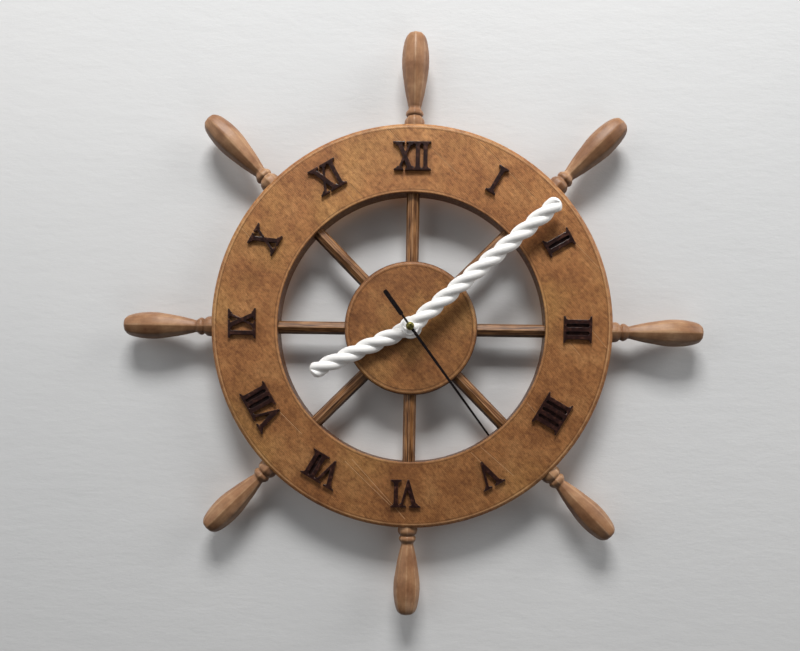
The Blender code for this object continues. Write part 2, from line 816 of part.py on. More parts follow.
def make_minutes_train():
    front_pivot_y = case_front_inner_y - pivot_depth + fit_gap
    opposite = math.pi
    pipe_back_y = layer_y(3) - gear_thickness / 2 - fit_gap
    pipe_bore = minute_bore_diameter / 2
    hour_bore = hour_bore_diameter / 2

    cannon = gear(
        "minute_arbor", cannon_pinion_teeth, motion_wheel_teeth, motion_distance,
        clock_centre, motion_angle, True, 5, gear_nylon)
    minute_front_y = hand_nut_back_y - hand_nut_thickness / 2
    pipe = rod(
        "pipe", minute_pipe_diameter / 2, pipe_back_y, minute_front_y, None, sides=tube_sides)
    joined(cannon, pipe)
    cut(cannon, rod("bore", pipe_bore, 0.0, minute_front_y - cut_overrun, None, sides=arbor_sides))

    motion = gear(
        "motion_wheel", motion_wheel_teeth, cannon_pinion_teeth, motion_distance,
        motion_centre, motion_angle + opposite, False, 5, gear_nylon)
    pinion = gear(
        "pinion", motion_pinion_teeth, hour_wheel_teeth, motion_distance,
        motion_centre, motion_angle + opposite, True, 6)
    knob_front_y = -(knob_recess_depth - fit_gap)
    arbor_back_y = knob_front_y + knob_thickness / 2
    arbor = rod(
        "arbor", motion_arbor_radius, arbor_back_y, front_pivot_y, None, motion_centre)
    joined(motion, pinion, arbor)

    knob_radius = knob_diameter / 2
    outline = []
    for k in range(2 * knob_flute_count):
        depth = knob_flute_depth if k % 2 else 0.0
        outline.append(away(motion_centre, knob_radius - depth, math.pi * k / knob_flute_count))
    knob = slab("setting_knob", [outline], knob_front_y + knob_thickness, knob_front_y, case_black)
    bore = rod(
        "bore", motion_hole_radius, arbor_back_y + fit_gap, knob_front_y - cut_overrun,
        None, motion_centre)
    cut(knob, bore)

    hour = gear(
        "hour_wheel", hour_wheel_teeth, motion_pinion_teeth, motion_distance,
        clock_centre, motion_angle, False, 6, gear_nylon)
    hour_front_y = minute_hand_back_y + fit_gap + seat_gap
    pipe = rod(
        "pipe", hour_pipe_diameter / 2, layer_y(6), hour_front_y, None, sides=tube_sides)
    joined(hour, pipe)
    cut(hour, rod("bore", hour_bore, 0.0, hour_front_y - cut_overrun, None, sides=tube_sides))


def plate_front_y():
    return layer_y(2) - gear_thickness / 2


# Movement case: a back shell with an open battery bay, a front cover and a middle plate
bay_top = -half_chamber + bay_side_clearance + battery_diameter + fit_gap


def make_case():
    outer = rectangle(
        -half_case, half_case, -half_case, half_case, case_corner_radius, case_corner_radius)
    inner_radius = case_corner_radius - case_wall
    shell_front_y = case_front_inner_y + fit_gap
    shell = slab("rear_case", [outer], 0.0, shell_front_y, case_black)
    chamber_low = bay_top + bay_wall
    chamber = slab(
        "chamber",
        [rectangle(-half_chamber, half_chamber, chamber_low, half_chamber, 0.0, inner_radius)],
        case_back_inner_y, shell_front_y - cut_overrun, None)
    bay = slab(
        "bay", [rectangle(-half_chamber, half_chamber, -half_chamber, bay_top, inner_radius, 0.0)],
        cut_overrun, shell_front_y - cut_overrun, None)
    cut(shell, chamber, bay)
    recess_radius = knob_diameter / 2 + recess_clearance
    cup = rod(
        "cup", recess_radius + case_wall, case_back_inner_y + seat_gap,
        -(knob_recess_depth + case_wall), None, motion_centre, tube_sides)
    joined(shell, cup)
    cutters = [rod(
        "recess", recess_radius, cut_overrun, -knob_recess_depth, None, motion_centre, tube_sides)]
    cutters.append(rod(
        "knob_hole", motion_hole_radius, 0.0, -(knob_recess_depth + case_wall + cut_overrun),
        None, motion_centre))
    for centre in (clock_centre, intermediate_centre, rotor_centre):
        cutters.append(rod(
            "pivot", arbor_hole_radius, case_back_inner_y + pivot_depth,
            case_back_inner_y - cut_overrun / 2, None, centre))
    cut(shell, *cutters)

    cover = slab(
        "front_case", [outer], case_front_inner_y, -movement_depth, case_black,
        holes=[circle(bush_diameter / 2 + fit_gap, tube_sides)])
    cutters = []
    for centre, radius in (
        (third_centre, arbor_hole_radius),
        (rotor_centre, arbor_hole_radius),
        (motion_centre, motion_hole_radius),
    ):
        cutters.append(rod(
            "pivot", radius, case_front_inner_y + cut_overrun / 2,
            case_front_inner_y - pivot_depth, None, centre))
    cut(cover, *cutters)

    plate_low = chamber_low + fit_gap
    plate_high = coil_height - coil_diameter / 2 - plate_coil_clearance
    plate_half = half_chamber - fit_gap
    holes = [circle(arbor_hole_radius, arbor_sides, centre) for centre in (
        clock_centre, intermediate_centre, rotor_centre, third_centre)]
    holes.append(circle(motion_hole_radius, arbor_sides, motion_centre))
    y = layer_y(2)
    slab(
        "middle_plate", [rectangle(-plate_half, plate_half, plate_low, plate_high)],
        y + gear_thickness / 2, y - gear_thickness / 2, case_black, holes=holes)


# Battery and its two contacts, across the bottom of the case
def along_x(name, profile, sides, look, y, z):
    """A turned shape whose axis runs to the right, through (y, z)."""
    mesh = turned_mesh(name, profile, sides, hollow=False)
    mesh.transform(Matrix.Rotation(-math.pi / 2, 4, "Z"))
    return placed(name, mesh, look, place=(0.0, y, z))


def make_battery():
    battery_radius = battery_diameter / 2
    battery_z = bay_top - fit_gap - battery_radius
    battery_y = case_front_inner_y + fit_gap + battery_radius
    button_radius = battery_button_diameter / 2
    contact_inner = half_chamber - fit_gap - contact_thickness
    right = contact_inner - fit_gap
    left = right - battery_length
    shoulder = right - battery_button_length
    profile = [
        (0.0, left), (battery_radius, left), (battery_radius, shoulder),
        (button_radius, shoulder), (button_radius, right), (0.0, right),
    ]
    along_x("battery", profile, battery_sides, battery_wrap, battery_y, battery_z)
    half_contact = contact_height / 2
    low = battery_z - half_contact
    high = battery_z + half_contact
    back_y = battery_y + half_contact
    front_y = battery_y - half_contact
    slab(
        "battery_button_contact",
        [rectangle(contact_inner, contact_inner + contact_thickness, low, high)],
        back_y, front_y, steel)
    outer = half_chamber - fit_gap
    plate = slab(
        "battery_spring_contact", [rectangle(-outer, -contact_inner, low, high)],
        back_y, front_y, steel)
    spring_radius = spring_diameter / 2
    reach = left - fit_gap
    profile = [
        (0.0, -contact_inner - contact_thickness / 2),
        (spring_radius, -contact_inner - contact_thickness / 2),
        (spring_radius / 2, reach), (0.0, reach),
    ]
    joined(plate, along_x("spring", profile, tube_sides, None, battery_y, battery_z))


# Coil on its stator plate, and the circuit board
def make_electrics():
    left = -(half_chamber - stator_left_inset)
    right = left + stator_width
    back_y = plate_front_y() - fit_gap
    front_y = back_y - stator_thickness
    low = rotor_centre[1] - stator_drop
    high = coil_height + stator_leg_width / 2
    pad_top = low + stator_pad_height
    window = rectangle(
        left + stator_leg_width, right - stator_leg_width, pad_top, high - stator_leg_width)
    rotor_hole = circle(magnet_diameter / 2 + magnet_clearance, tube_sides, rotor_centre)
    slab(
        "stator", [rectangle(left, right, low, high)], back_y, front_y, steel,
        holes=[window, rotor_hole])
    middle_y = (back_y + front_y) / 2
    coil_left = left + stator_leg_width + fit_gap
    coil_right = right - stator_leg_width - fit_gap
    coil_radius = coil_diameter / 2
    profile = [(0.0, coil_left), (coil_radius, coil_left), (coil_radius, coil_right), (0.0, coil_right)]
    coil = along_x("coil", profile, tube_sides, copper, middle_y, coil_height)
    half_core = stator_leg_width / 2 + fit_gap
    core = slab(
        "core",
        [rectangle(left, right, coil_height - half_core, coil_height + half_core)],
        back_y + fit_gap, front_y - fit_gap, None)
    cut(coil, core)
    board_high = half_chamber - board_corner_inset
    board_back_y = case_back_inner_y - fit_gap
    slab(
        "circuit_board",
        [rectangle(board_high - board_width, board_high, board_high - board_height, board_high)],
        board_back_y, board_back_y - board_thickness, board_green)


# What clamps the movement to the hub, and the plate that hangs the clock on the wall
def make_fixings():
    bush_radius = bush_diameter / 2
    hole_radius = bush_radius + fit_gap
    tube(
        "shaft_bush", bush_radius, bush_bore_diameter / 2, case_front_inner_y, bush_front_y, brass)
    tube(
        "rubber_washer", rubber_washer_diameter / 2, hole_radius, rubber_washer_back_y,
        rubber_washer_back_y - rubber_washer_thickness, rubber_black)
    tube(
        "brass_washer", brass_washer_diameter / 2, hole_radius, brass_washer_back_y,
        brass_washer_back_y - brass_washer_thickness, brass)
    nut_corner = hex_nut_width / 2 / math.cos(math.pi / 6)
    slab(
        "hex_nut", [circle(nut_corner, 6)], hex_nut_back_y, hex_nut_back_y - hex_nut_thickness,
        brass, holes=[circle(hole_radius, tube_sides)])
    nut_front_y = hand_nut_back_y - hand_nut_thickness
    tube(
        "hand_nut", hand_nut_diameter / 2, minute_pipe_diameter / 2 + fit_gap, hand_nut_back_y,
        nut_front_y, brass)

    front_y = hanger_back_y - hanger_thickness
    strap_low = half_case + fit_gap
    strap_high = strap_low + hanger_thickness
    half_width = hanger_width / 2
    hanger = slab(
        "wall_hanger",
        [circle(hanger_ring_diameter / 2, boss_sides),
         rectangle(-half_width, half_width, 0.0, strap_high)],
        hanger_back_y, front_y, steel, holes=[circle(hole_radius, tube_sides)])
    tab_front_y = -(hanger_wall_space + hanger_thickness)
    strap = slab(
        "strap", [rectangle(-half_width, half_width, strap_low, strap_high)],
        -hanger_wall_space, (hanger_back_y + front_y) / 2, None)
    tab = slab(
        "tab", [rectangle(-half_width, half_width, strap_low, hanger_reach, 0.0, half_width / 2)],
        -hanger_wall_space, tab_front_y, None,
        holes=[circle(hanger_hole_diameter / 2, tube_sides, (0.0, hanger_hole_height))])
    joined(hanger, strap, tab)


make_rim()
make_hub()
make_spokes()
make_handles()
make_numerals()
make_rope_hand(
    "hour_hand", hour_hand_length, hour_hand_angle, hour_hand_back_y,
    [(hour_boss_diameter / 2, hour_boss_thickness)], hour_pipe_diameter / 2 + fit_gap)
make_rope_hand(
    "minute_hand", minute_hand_length, minute_hand_angle, minute_hand_back_y,
    [(minute_boss_diameter / 2, minute_boss_thickness), (nut_seat_diameter / 2, rope_thickness)],
    minute_pipe_diameter / 2 + fit_gap)
make_second_hand()
make_seconds_train()
make_minutes_train()
make_case()
make_battery()
make_electrics()
make_fixings()
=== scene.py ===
import json
import math

import bmesh
import bpy
from mathutils import Matrix, Vector

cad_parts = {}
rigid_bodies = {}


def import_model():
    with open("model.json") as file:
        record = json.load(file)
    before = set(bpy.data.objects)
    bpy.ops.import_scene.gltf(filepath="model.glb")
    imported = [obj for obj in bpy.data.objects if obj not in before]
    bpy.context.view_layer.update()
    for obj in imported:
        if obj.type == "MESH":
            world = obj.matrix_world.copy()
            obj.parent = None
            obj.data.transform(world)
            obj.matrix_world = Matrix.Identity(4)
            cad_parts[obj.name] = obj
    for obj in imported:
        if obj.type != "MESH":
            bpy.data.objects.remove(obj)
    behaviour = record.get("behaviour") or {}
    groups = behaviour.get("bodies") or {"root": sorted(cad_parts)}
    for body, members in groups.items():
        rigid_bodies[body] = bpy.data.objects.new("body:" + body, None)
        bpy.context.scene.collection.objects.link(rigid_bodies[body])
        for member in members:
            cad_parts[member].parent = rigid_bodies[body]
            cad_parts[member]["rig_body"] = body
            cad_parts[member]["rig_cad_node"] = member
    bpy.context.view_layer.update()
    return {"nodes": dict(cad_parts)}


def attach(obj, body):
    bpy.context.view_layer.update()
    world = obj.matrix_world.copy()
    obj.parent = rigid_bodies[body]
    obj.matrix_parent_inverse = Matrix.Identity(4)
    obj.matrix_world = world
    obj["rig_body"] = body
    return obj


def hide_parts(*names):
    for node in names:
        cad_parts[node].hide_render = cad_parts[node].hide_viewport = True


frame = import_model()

# The wall: pale grey plaster with a coat of roller paint. It is only a backdrop, and it shows
# from its front alone, so that the back of the clock can be looked at too.
wall_size = 6.0
wall_behind_clock = 0.0004
wall_colour = (0.62, 0.62, 0.615)


class Wire:
    """What a node gives out, a value that differs from point to point, with sums on it."""

    def __init__(self, socket):
        self.socket = socket
        self.tree = socket.id_data

    def __add__(self, other):
        return maths("ADD", self, other)

    def __sub__(self, other):
        return maths("SUBTRACT", self, other)

    def __mul__(self, other):
        return maths("MULTIPLY", self, other)


def connect(value, socket):
    """Feeds a wire, a number, a colour or a direction into a node."""
    if isinstance(value, Wire):
        value.tree.links.new(value.socket, socket)
    elif socket.type == "RGBA":
        socket.default_value = (*value, 1.0)
    else:
        socket.default_value = value


def new_finish(name, colour, roughness, metallic=0.0, gleam=0.5):
    """A material of one colour with its shader, which the lines after it work up."""
    finish = bpy.data.materials.new(name)
    finish.use_nodes = True
    shader = finish.node_tree.nodes["Principled BSDF"]
    connect(colour, shader.inputs["Base Color"])
    connect(roughness, shader.inputs["Roughness"])
    connect(metallic, shader.inputs["Metallic"])
    connect(gleam, shader.inputs["Specular IOR Level"])
    return finish, shader


def from_node(tree, kind, inputs, output=0, **settings):
    """A new node with its inputs and settings; gives the wire from one of its outputs."""
    node = tree.nodes.new("ShaderNode" + kind)
    for key, value in settings.items():
        setattr(node, key, value)
    for key, value in inputs.items():
        connect(value, node.inputs[key])
    return Wire(node.outputs[output])


def maths(operation, *values):
    """One sum on wires and numbers."""
    tree = next(value.tree for value in values if isinstance(value, Wire))
    return from_node(tree, "Math", dict(enumerate(values)), operation=operation)


def mix(amount, first, second, blend="MIX"):
    """One colour laid over another."""
    tree = next(value.tree for value in (amount, first, second) if isinstance(value, Wire))
    return from_node(
        tree, "Mix", {0: amount, 6: first, 7: second}, 2, data_type="RGBA", blend_type=blend)


def ramp(value, *stops):
    """Goes from colour to colour, or number to number: each stop is a place and what is there."""
    colours = from_node(value.tree, "ValToRGB", {"Fac": value}, "Color")
    band = colours.socket.node.color_ramp
    band.elements.remove(band.elements[1])
    for number, (place, there) in enumerate(stops):
        stop = band.elements.new(place) if number else band.elements[0]
        stop.position = place
        stop.color = (*there, 1.0) if isinstance(there, tuple) else (there, there, there, 1.0)
    return colours


def own_place(shader):
    """Where each point lies on the clock."""
    return from_node(shader.id_data, "TexCoord", {}, "Object")


def stretch(place, scale, turn=(0.0, 0.0, 0.0)):
    """A place with its axes scaled and turned, for a stretched pattern."""
    return from_node(place.tree, "Mapping", {"Vector": place, "Rotation": turn, "Scale": scale})


def clouds(place, scale, detail, roughness=0.5):
    """A cloudy pattern of about that many clouds to the metre, with finer clouds in them."""
    return from_node(place.tree, "TexNoise", {
        "Vector": place, "Scale": scale, "Detail": detail, "Roughness": roughness})


def bump(shader, height, strength, distance):
    """Raises a surface by a height pattern."""
    normal = from_node(shader.id_data, "Bump", {
        "Height": height, "Strength": strength, "Distance": distance})
    connect(normal, shader.inputs["Normal"])


plaster, shader = new_finish("wall_plaster", wall_colour, 0.85)
place = own_place(shader)
roller = clouds(stretch(place, (22.0, 60.0, 60.0), (0.0, 0.5, 0.0)), 1.6, 7.0, 0.68)
tint = ramp(clouds(place, 2.5, 3.0), (0.3, (0.597, 0.609, 0.624)), (0.7, (0.637, 0.644, 0.655)))
connect(tint, shader.inputs["Base Color"])
bump(shader, roller, 0.35, 0.0010)
behind = from_node(shader.id_data, "NewGeometry", {}, "Backfacing")
clear = from_node(shader.id_data, "BsdfTransparent", {})
one_sided = from_node(
    shader.id_data, "MixShader", {0: behind, 1: Wire(shader.outputs[0]), 2: clear})
connect(one_sided, plaster.node_tree.nodes["Material Output"].inputs["Surface"])

bpy.ops.object.select_all(action="DESELECT")
bpy.ops.mesh.primitive_plane_add(
    size=wall_size, location=(0.0, wall_behind_clock, 0.0), rotation=(math.pi / 2, 0.0, 0.0))
wall = bpy.context.object
wall.name = "wall"
wall.data.materials.append(plaster)

# The light: a window high in front of the clock, pale walls on both sides and a pale floor that
# throw some of it back, and two soft lamps behind, which the wall doesn't stop, for the back.
window_power = 18.6
room_level = 0.04
daylight = (1.0, 0.985, 0.96)


def hang_light(name, place, width, height, power, colour=(1.0, 1.0, 1.0)):
    """A flat soft light that faces the clock's centre."""
    bpy.ops.object.light_add(type="AREA", location=place)
    light = bpy.context.object
    light.name = name
    light.data.shape = "RECTANGLE"
    light.data.size = width
    light.data.size_y = height
    light.data.energy = power
    light.data.color = colour
    light.rotation_euler = (-Vector(place)).to_track_quat("-Z", "Y").to_euler()
    light.visible_camera = False
    return light


def in_front(distance, off_axis, round_axis):
    """A place in front of the wall, by how far off straight on and how far round from up."""
    off_axis = math.radians(off_axis)
    round_axis = math.radians(round_axis)
    return Vector((
        distance * math.sin(off_axis) * math.sin(round_axis), -distance * math.cos(off_axis),
        distance * math.sin(off_axis) * math.cos(round_axis)))


hang_light("window", in_front(1.3, 55.1, -0.3), 0.59, 0.33, window_power, daylight)
hang_light("right_wall", in_front(1.8, 73.4, 60.0), 1.0, 1.0, 0.85 * window_power, daylight)
hang_light("left_wall", in_front(1.8, 60.8, 290.0), 1.9, 1.9, 0.75 * window_power, daylight)
hang_light("floor", in_front(1.8, 56.8, 148.0), 0.9, 0.9, 0.2 * window_power, daylight)

not_the_wall = bpy.data.collections.new("not_the_wall")
not_the_wall.objects.link(wall)
not_the_wall.collection_objects[0].light_linking.link_state = "EXCLUDE"
for side, place in (("left", (0.6, 2.0, 0.35)), ("right", (-0.6, 2.0, 0.25))):
    lamp = hang_light("back_lamp_" + side, place, 0.7, 0.7, 14.0)
    lamp.visible_glossy = False
    lamp.light_linking.receiver_collection = not_the_wall
    lamp.light_linking.blocker_collection = not_the_wall

room = bpy.data.worlds.new("room")
room.use_nodes = True
room.node_tree.nodes["Background"].inputs["Color"].default_value = (0.86, 0.88, 0.92, 1.0)
room.node_tree.nodes["Background"].inputs["Strength"].default_value = room_level
bpy.context.scene.world = room
bpy.context.scene.view_settings.view_transform = "Standard"

# The camera: held about half a metre from the dial, a little to the right of the centre and
# below it, with the picture's frame moved up.
dial_front = -0.0222
camera_place = (0.0147, dial_front - 0.5437, -0.0517)
camera_yaw = math.radians(1.48)
camera_pitch = math.radians(-2.98)
camera_roll = math.radians(-1.00)

bpy.ops.object.camera_add()
camera = bpy.context.object
camera.name = "camera"
camera.data.sensor_width = 36.0
camera.data.lens = 35.66
camera.data.shift_x = -0.0120
camera.data.shift_y = 0.1498
camera.data.clip_start = 0.01
turn = Matrix.Rotation(camera_yaw, 4, "Z") @ Matrix.Rotation(camera_pitch, 4, "X")
turn = turn @ Matrix.Rotation(camera_roll, 4, "Y") @ Matrix.Rotation(math.pi / 2, 4, "X")
camera.matrix_world = Matrix.Translation(camera_place) @ turn
bpy.context.scene.camera = camera

# Rim: a flat printed ring, stained brown by hand. Its outer front edge is rounded, and it has
# an eight-sided socket for each spoke inside and a seat for each handle's collar outside.
rim_radius = 0.1376
rim_opening_radius = 0.0916
dial_thickness = 0.016
dial_back = dial_front + dial_thickness
arm_depth = dial_front + dial_thickness / 2
arm_turns = [math.radians(45.0 * number) for number in range(8)]
arm_names = ("12", "1_30", "3", "4_30", "6", "7_30", "9", "10_30")


def choose(piece=None):
    """Deselects everything, and then selects one piece and makes it the active one."""
    bpy.ops.object.select_all(action="DESELECT")
    if piece:
        piece.select_set(True)
        bpy.context.view_layer.objects.active = piece


def edit(piece, selected="DESELECT"):
    """Opens a piece for shaping, with none or all of it selected."""
    choose(piece)
    bpy.ops.object.mode_set(mode="EDIT")
    bpy.ops.mesh.select_all(action=selected)


def close():
    bpy.ops.object.mode_set(mode="OBJECT")


def pick(piece, kind, wanted):
    """Selects the piece's corners, edges or faces that wanted(...) says yes to."""
    bpy.ops.mesh.select_mode(type=kind)
    bpy.ops.mesh.select_all(action="DESELECT")
    form = bmesh.from_edit_mesh(piece.data)
    parts = {"VERT": form.verts, "EDGE": form.edges, "FACE": form.faces}[kind]
    for part in parts:
        if wanted(part):
            part.select_set(True)
    form.select_flush_mode()
    bmesh.update_edit_mesh(piece.data)


def runs(edge, axis, least=0.001):
    """Says yes to an edge that reaches at least so far along an axis."""
    first, last = (getattr(end.co, axis) for end in edge.verts)
    return abs(first - last) > least


def on_ring(radius, depth, slack=0.00002):
    """Says yes to an edge of the circle of that radius and depth about the clock's axis."""
    def wanted(edge):
        return all(
            abs(math.hypot(end.co.x, end.co.z) - radius) < slack and abs(end.co.y - depth) < slack
            for end in edge.verts)
    return wanted


def named(name):
    """Takes the piece just added, and names it."""
    piece = bpy.context.object
    piece.name = name
    piece.data.name = name
    return piece


def on_lathe(name, outline, steps, hollow=False):
    """A piece turned about the clock's axis from (radius, depth) points; hollow for a ring."""
    choose()
    bpy.ops.mesh.primitive_plane_add(size=0.001)
    piece = named(name)
    edit(piece, "SELECT")
    bpy.ops.mesh.select_mode(type="VERT")
    bpy.ops.mesh.merge(type="CENTER")
    last = (0.0, 0.0)
    for number, (radius, depth) in enumerate(outline):
        step = (0.0, depth - last[1], radius - last[0])
        if number:
            bpy.ops.mesh.extrude_region_move(TRANSFORM_OT_translate={"value": step})
        else:
            bpy.ops.transform.translate(value=step)
        last = (radius, depth)
    if hollow:
        ends = (outline[0], outline[-1])
        pick(piece, "VERT", lambda corner: any(
            abs(corner.co.z - radius) < 1e-6 and abs(corner.co.y - depth) < 1e-6
            for radius, depth in ends))
        bpy.ops.mesh.edge_face_add()
    bpy.ops.mesh.select_all(action="SELECT")
    bpy.ops.mesh.spin(
        steps=steps, angle=2 * math.pi, center=(0.0, 0.0, 0.0), axis=(0.0, 1.0, 0.0))
    bpy.ops.mesh.select_all(action="SELECT")
    bpy.ops.mesh.remove_doubles(threshold=0.000002)
    bpy.ops.mesh.normals_make_consistent(inside=False)
    close()
    return piece


def bevel_where(piece, wanted, width, segments):
    """Rounds the edges that wanted(...) says yes to."""
    edit(piece)
    pick(piece, "EDGE", wanted)
    bpy.ops.mesh.bevel(offset=width, segments=segments, profile=0.5, affect="EDGES")
    close()


def bevel_ring(piece, radius, depth, width, segments):
    bevel_where(piece, on_ring(radius, depth), width, segments)


def apply_step(piece, kind, **settings):
    """One modifier, applied to the piece at once."""
    step = piece.modifiers.new(kind.lower(), kind)
    for key, value in settings.items():
        setattr(step, key, value)
    choose(piece)
    bpy.ops.object.modifier_apply(modifier=step.name)


def cut_with(piece, cutters, operation="DIFFERENCE"):
    """Cuts other shapes out of a piece, or joins them to it, and throws them away."""
    for cutter in cutters:
        apply_step(piece, "BOOLEAN", operation=operation, object=cutter)
        bpy.data.objects.remove(cutter, do_unlink=True)


def settle(piece, smooth_angle=30.0):
    """Puts a piece's place into its mesh, and smooths its round faces."""
    choose(piece)
    bpy.ops.object.transform_apply(location=True, rotation=True, scale=True)
    bpy.ops.object.shade_smooth_by_angle(angle=math.radians(smooth_angle))


def flat_facets(piece):
    """Keeps each facet flat in the light right up to its small bevels."""
    apply_step(piece, "WEIGHTED_NORMAL", weight=80, keep_sharp=True)


def eight_sided(name, radius, low, high, turn):
    """An eight-sided rod along an arm, an edge to the front, between two radii of the wheel."""
    choose()
    bpy.ops.mesh.primitive_cylinder_add(
        vertices=8, radius=radius, depth=high - low, location=(0.0, arm_depth, (low + high) / 2))
    rod = named(name)
    settle(rod)
    rod.matrix_world = Matrix.Rotation(turn, 4, "Y")
    return rod


def wear(piece, finish):
    piece.data.materials.clear()
    piece.data.materials.append(finish)


socket_gap = 0.0003
spoke_radius = 0.0045
collar_radius = 0.0069715
tenon_radius = 0.004
spoke_rim_depth = 0.006
collar_depth = 0.003
tenon_depth = 0.014
corner_gap = socket_gap / math.cos(math.pi / 8)
front_round = 0.0031
opening_round = 0.0007
back_round = 0.0008
scratch_radius = 0.00042
overrun = 0.002

rim = on_lathe("rim_ring", [
    (rim_opening_radius, dial_back), (rim_radius, dial_back),
    (rim_radius, dial_front), (rim_opening_radius, dial_front)], 240, hollow=True)
bevel_ring(rim, rim_radius, dial_front, front_round, 7)
bevel_ring(rim, rim_opening_radius, dial_front, opening_round, 4)
bevel_ring(rim, rim_radius, dial_back, back_round, 3)
bevel_ring(rim, rim_opening_radius, dial_back, back_round, 3)
cutters = []
for turn in arm_turns:
    for name, radius, low, high in (
        ("spoke_socket", spoke_radius, rim_opening_radius - overrun,
         rim_opening_radius + spoke_rim_depth + socket_gap),
        ("collar_seat", collar_radius, rim_radius - collar_depth - socket_gap,
         rim_radius + overrun),
        ("tenon_socket", tenon_radius, rim_radius - tenon_depth - socket_gap,
         rim_radius - collar_depth),
    ):
        cutters.append(eight_sided(name, radius + corner_gap, low, high, turn))
for x, z, far_x, far_z in (
    (0.0109, 0.1221, 0.0294, 0.1044), (0.0431, 0.1257, 0.0616, 0.1094),
    (0.0616, 0.1080, 0.0836, 0.0871), (-0.0170, 0.1331, -0.0073, 0.1220),
    (-0.0524, 0.1003, -0.0386, 0.0838), (-0.0428, 0.0964, -0.0330, 0.0868),
    (-0.0890, -0.0587, -0.0737, -0.0736), (-0.0437, -0.0917, -0.0122, -0.1215),
    (-0.0389, -0.0902, -0.0016, -0.1310), (0.0500, -0.0805, 0.0727, -0.0997),
    (0.0422, -0.0834, 0.0506, -0.0912), (0.0799, -0.0485, 0.0880, -0.0583),
    (0.1084, -0.0084, 0.1154, -0.0164), (0.1230, 0.0006, 0.1334, -0.0114),
    (0.1099, 0.0587, 0.1271, 0.0423), (-0.1175, 0.0675, -0.1106, 0.0595),
):
    choose()
    bpy.ops.mesh.primitive_cylinder_add(
        vertices=4, radius=scratch_radius, depth=math.hypot(far_x - x, far_z - z),
        location=((x + far_x) / 2, dial_front - 0.4 * scratch_radius, (z + far_z) / 2),
        rotation=(0.0, math.atan2(far_x - x, far_z - z), 0.0))
    scratch = named("scratch")
    settle(scratch)
    cutters.append(scratch)
cut_with(rim, cutters)
settle(rim)
flat_facets(rim)
normals = [corner.vector.copy() for corner in rim.data.corner_normals]
for face in rim.data.polygons:
    if face.normal.y < -0.999:
        for corner in face.loop_indices:
            normals[corner] = face.normal.copy()
rim.data.normals_split_custom_set(normals)


def near(value, place, half):
    """One where a value is at a place, and nothing from half that far on either side."""
    off = maths("ABSOLUTE", value - place)
    return maths("MAXIMUM", maths("MULTIPLY_ADD", off, -1.0 / half, 1.0), 0.0)


def parts_of(vector):
    """The three parts of a place or a direction."""
    split = from_node(vector.tree, "SeparateXYZ", {"Vector": vector}).socket.node
    return [Wire(part) for part in split.outputs]


def length_of(first, second):
    """How long the line is that goes so far one way and so far the other."""
    return maths("SQRT", maths("POWER", first, 2.0) + maths("POWER", second, 2.0))


layer_pitch = 0.0011
midway_to_rim = 0.06
scratched_ring = 0.1140
scratched_half = 0.0198
face_stain, shader = new_finish("face_stain", (0.33, 0.155, 0.058), 0.45, gleam=0.3)
place = own_place(shader)
x, y, z = parts_of(place)
from_centre = length_of(x, z)
across = (x + z) * math.sqrt(0.5)
along = (x - z) * math.sqrt(0.5)
slanted = from_node(shader.id_data, "CombineXYZ", {"X": across, "Y": y, "Z": along * 0.3})
patches = clouds(place, 38.0, 6.0, 0.66)
specks = clouds(place, 520.0, 4.0, 0.75)
brushed = clouds(slanted, 520.0, 4.0, 0.7)
colour = ramp(
    patches, (0.30, (0.20, 0.078, 0.027)), (0.50, (0.30, 0.130, 0.046)),
    (0.70, (0.37, 0.180, 0.068)))
gold = ramp(clouds(place, 17.0, 3.0), (0.50, 0.0), (0.66, 0.45))
colour = mix(gold, colour, (0.39, 0.215, 0.068))
speckle = ramp(specks, (0.36, (0.53, 0.43, 0.38)), (0.48, 1.0), (0.64, 1.35))
streaks = ramp(brushed, (0.36, (0.63, 0.53, 0.47)), (0.50, 1.0), (0.64, 1.35))
colour = mix(0.6, colour, speckle, "MULTIPLY")
colour = mix(0.6, colour, streaks, "MULTIPLY")
layers = maths("SINE", across * (2 * math.pi / layer_pitch) + specks * 1.4)
lines = ramp(maths("MULTIPLY_ADD", layers, 0.5, 0.5), (0.0, 0.70), (0.35, 1.0))
colour = mix(0.6, colour, lines, "MULTIPLY")
# Painted light: the face grows lighter towards the top, where the window's light falls on it more
# strongly. The hub's own stain is a little darker than the rim's.
on_hub = maths("LESS_THAN", from_centre, midway_to_rim)
painted_top_light_and_hub_tone = maths("MULTIPLY_ADD", z, 1.35, 0.945) * maths("MULTIPLY_ADD", on_hub, -0.17, 1.0)
drift = from_node(
    shader.id_data, "CombineXYZ", {"X": painted_top_light_and_hub_tone, "Y": painted_top_light_and_hub_tone, "Z": painted_top_light_and_hub_tone})
colour = mix(1.0, colour, drift, "MULTIPLY")
# Painted highlight and shade on the rounded edges: each pale line on a rounded front edge is a
# painted highlight with some worn stain in it. Each dark line just inside it, and the one in the
# hub's groove, is painted shade.
patchy = ramp(patches, (0.35, 0.35), (0.6, 1.0))
for edge, half_width, amount, tint in (
    (0.1349, 0.0006, 0.55, (0.60, 0.38, 0.20)), (0.1338, 0.0004, 0.80, (0.05, 0.022, 0.010)),
    (0.0924, 0.0004, 0.40, (0.60, 0.38, 0.20)), (0.0935, 0.0004, 0.75, (0.05, 0.022, 0.010)),
    (0.0435, 0.0004, 0.45, (0.55, 0.34, 0.18)), (0.0421, 0.0004, 0.80, (0.03, 0.013, 0.007)),
):
    colour = mix(near(from_centre, edge, half_width) * amount * patchy, colour, tint)
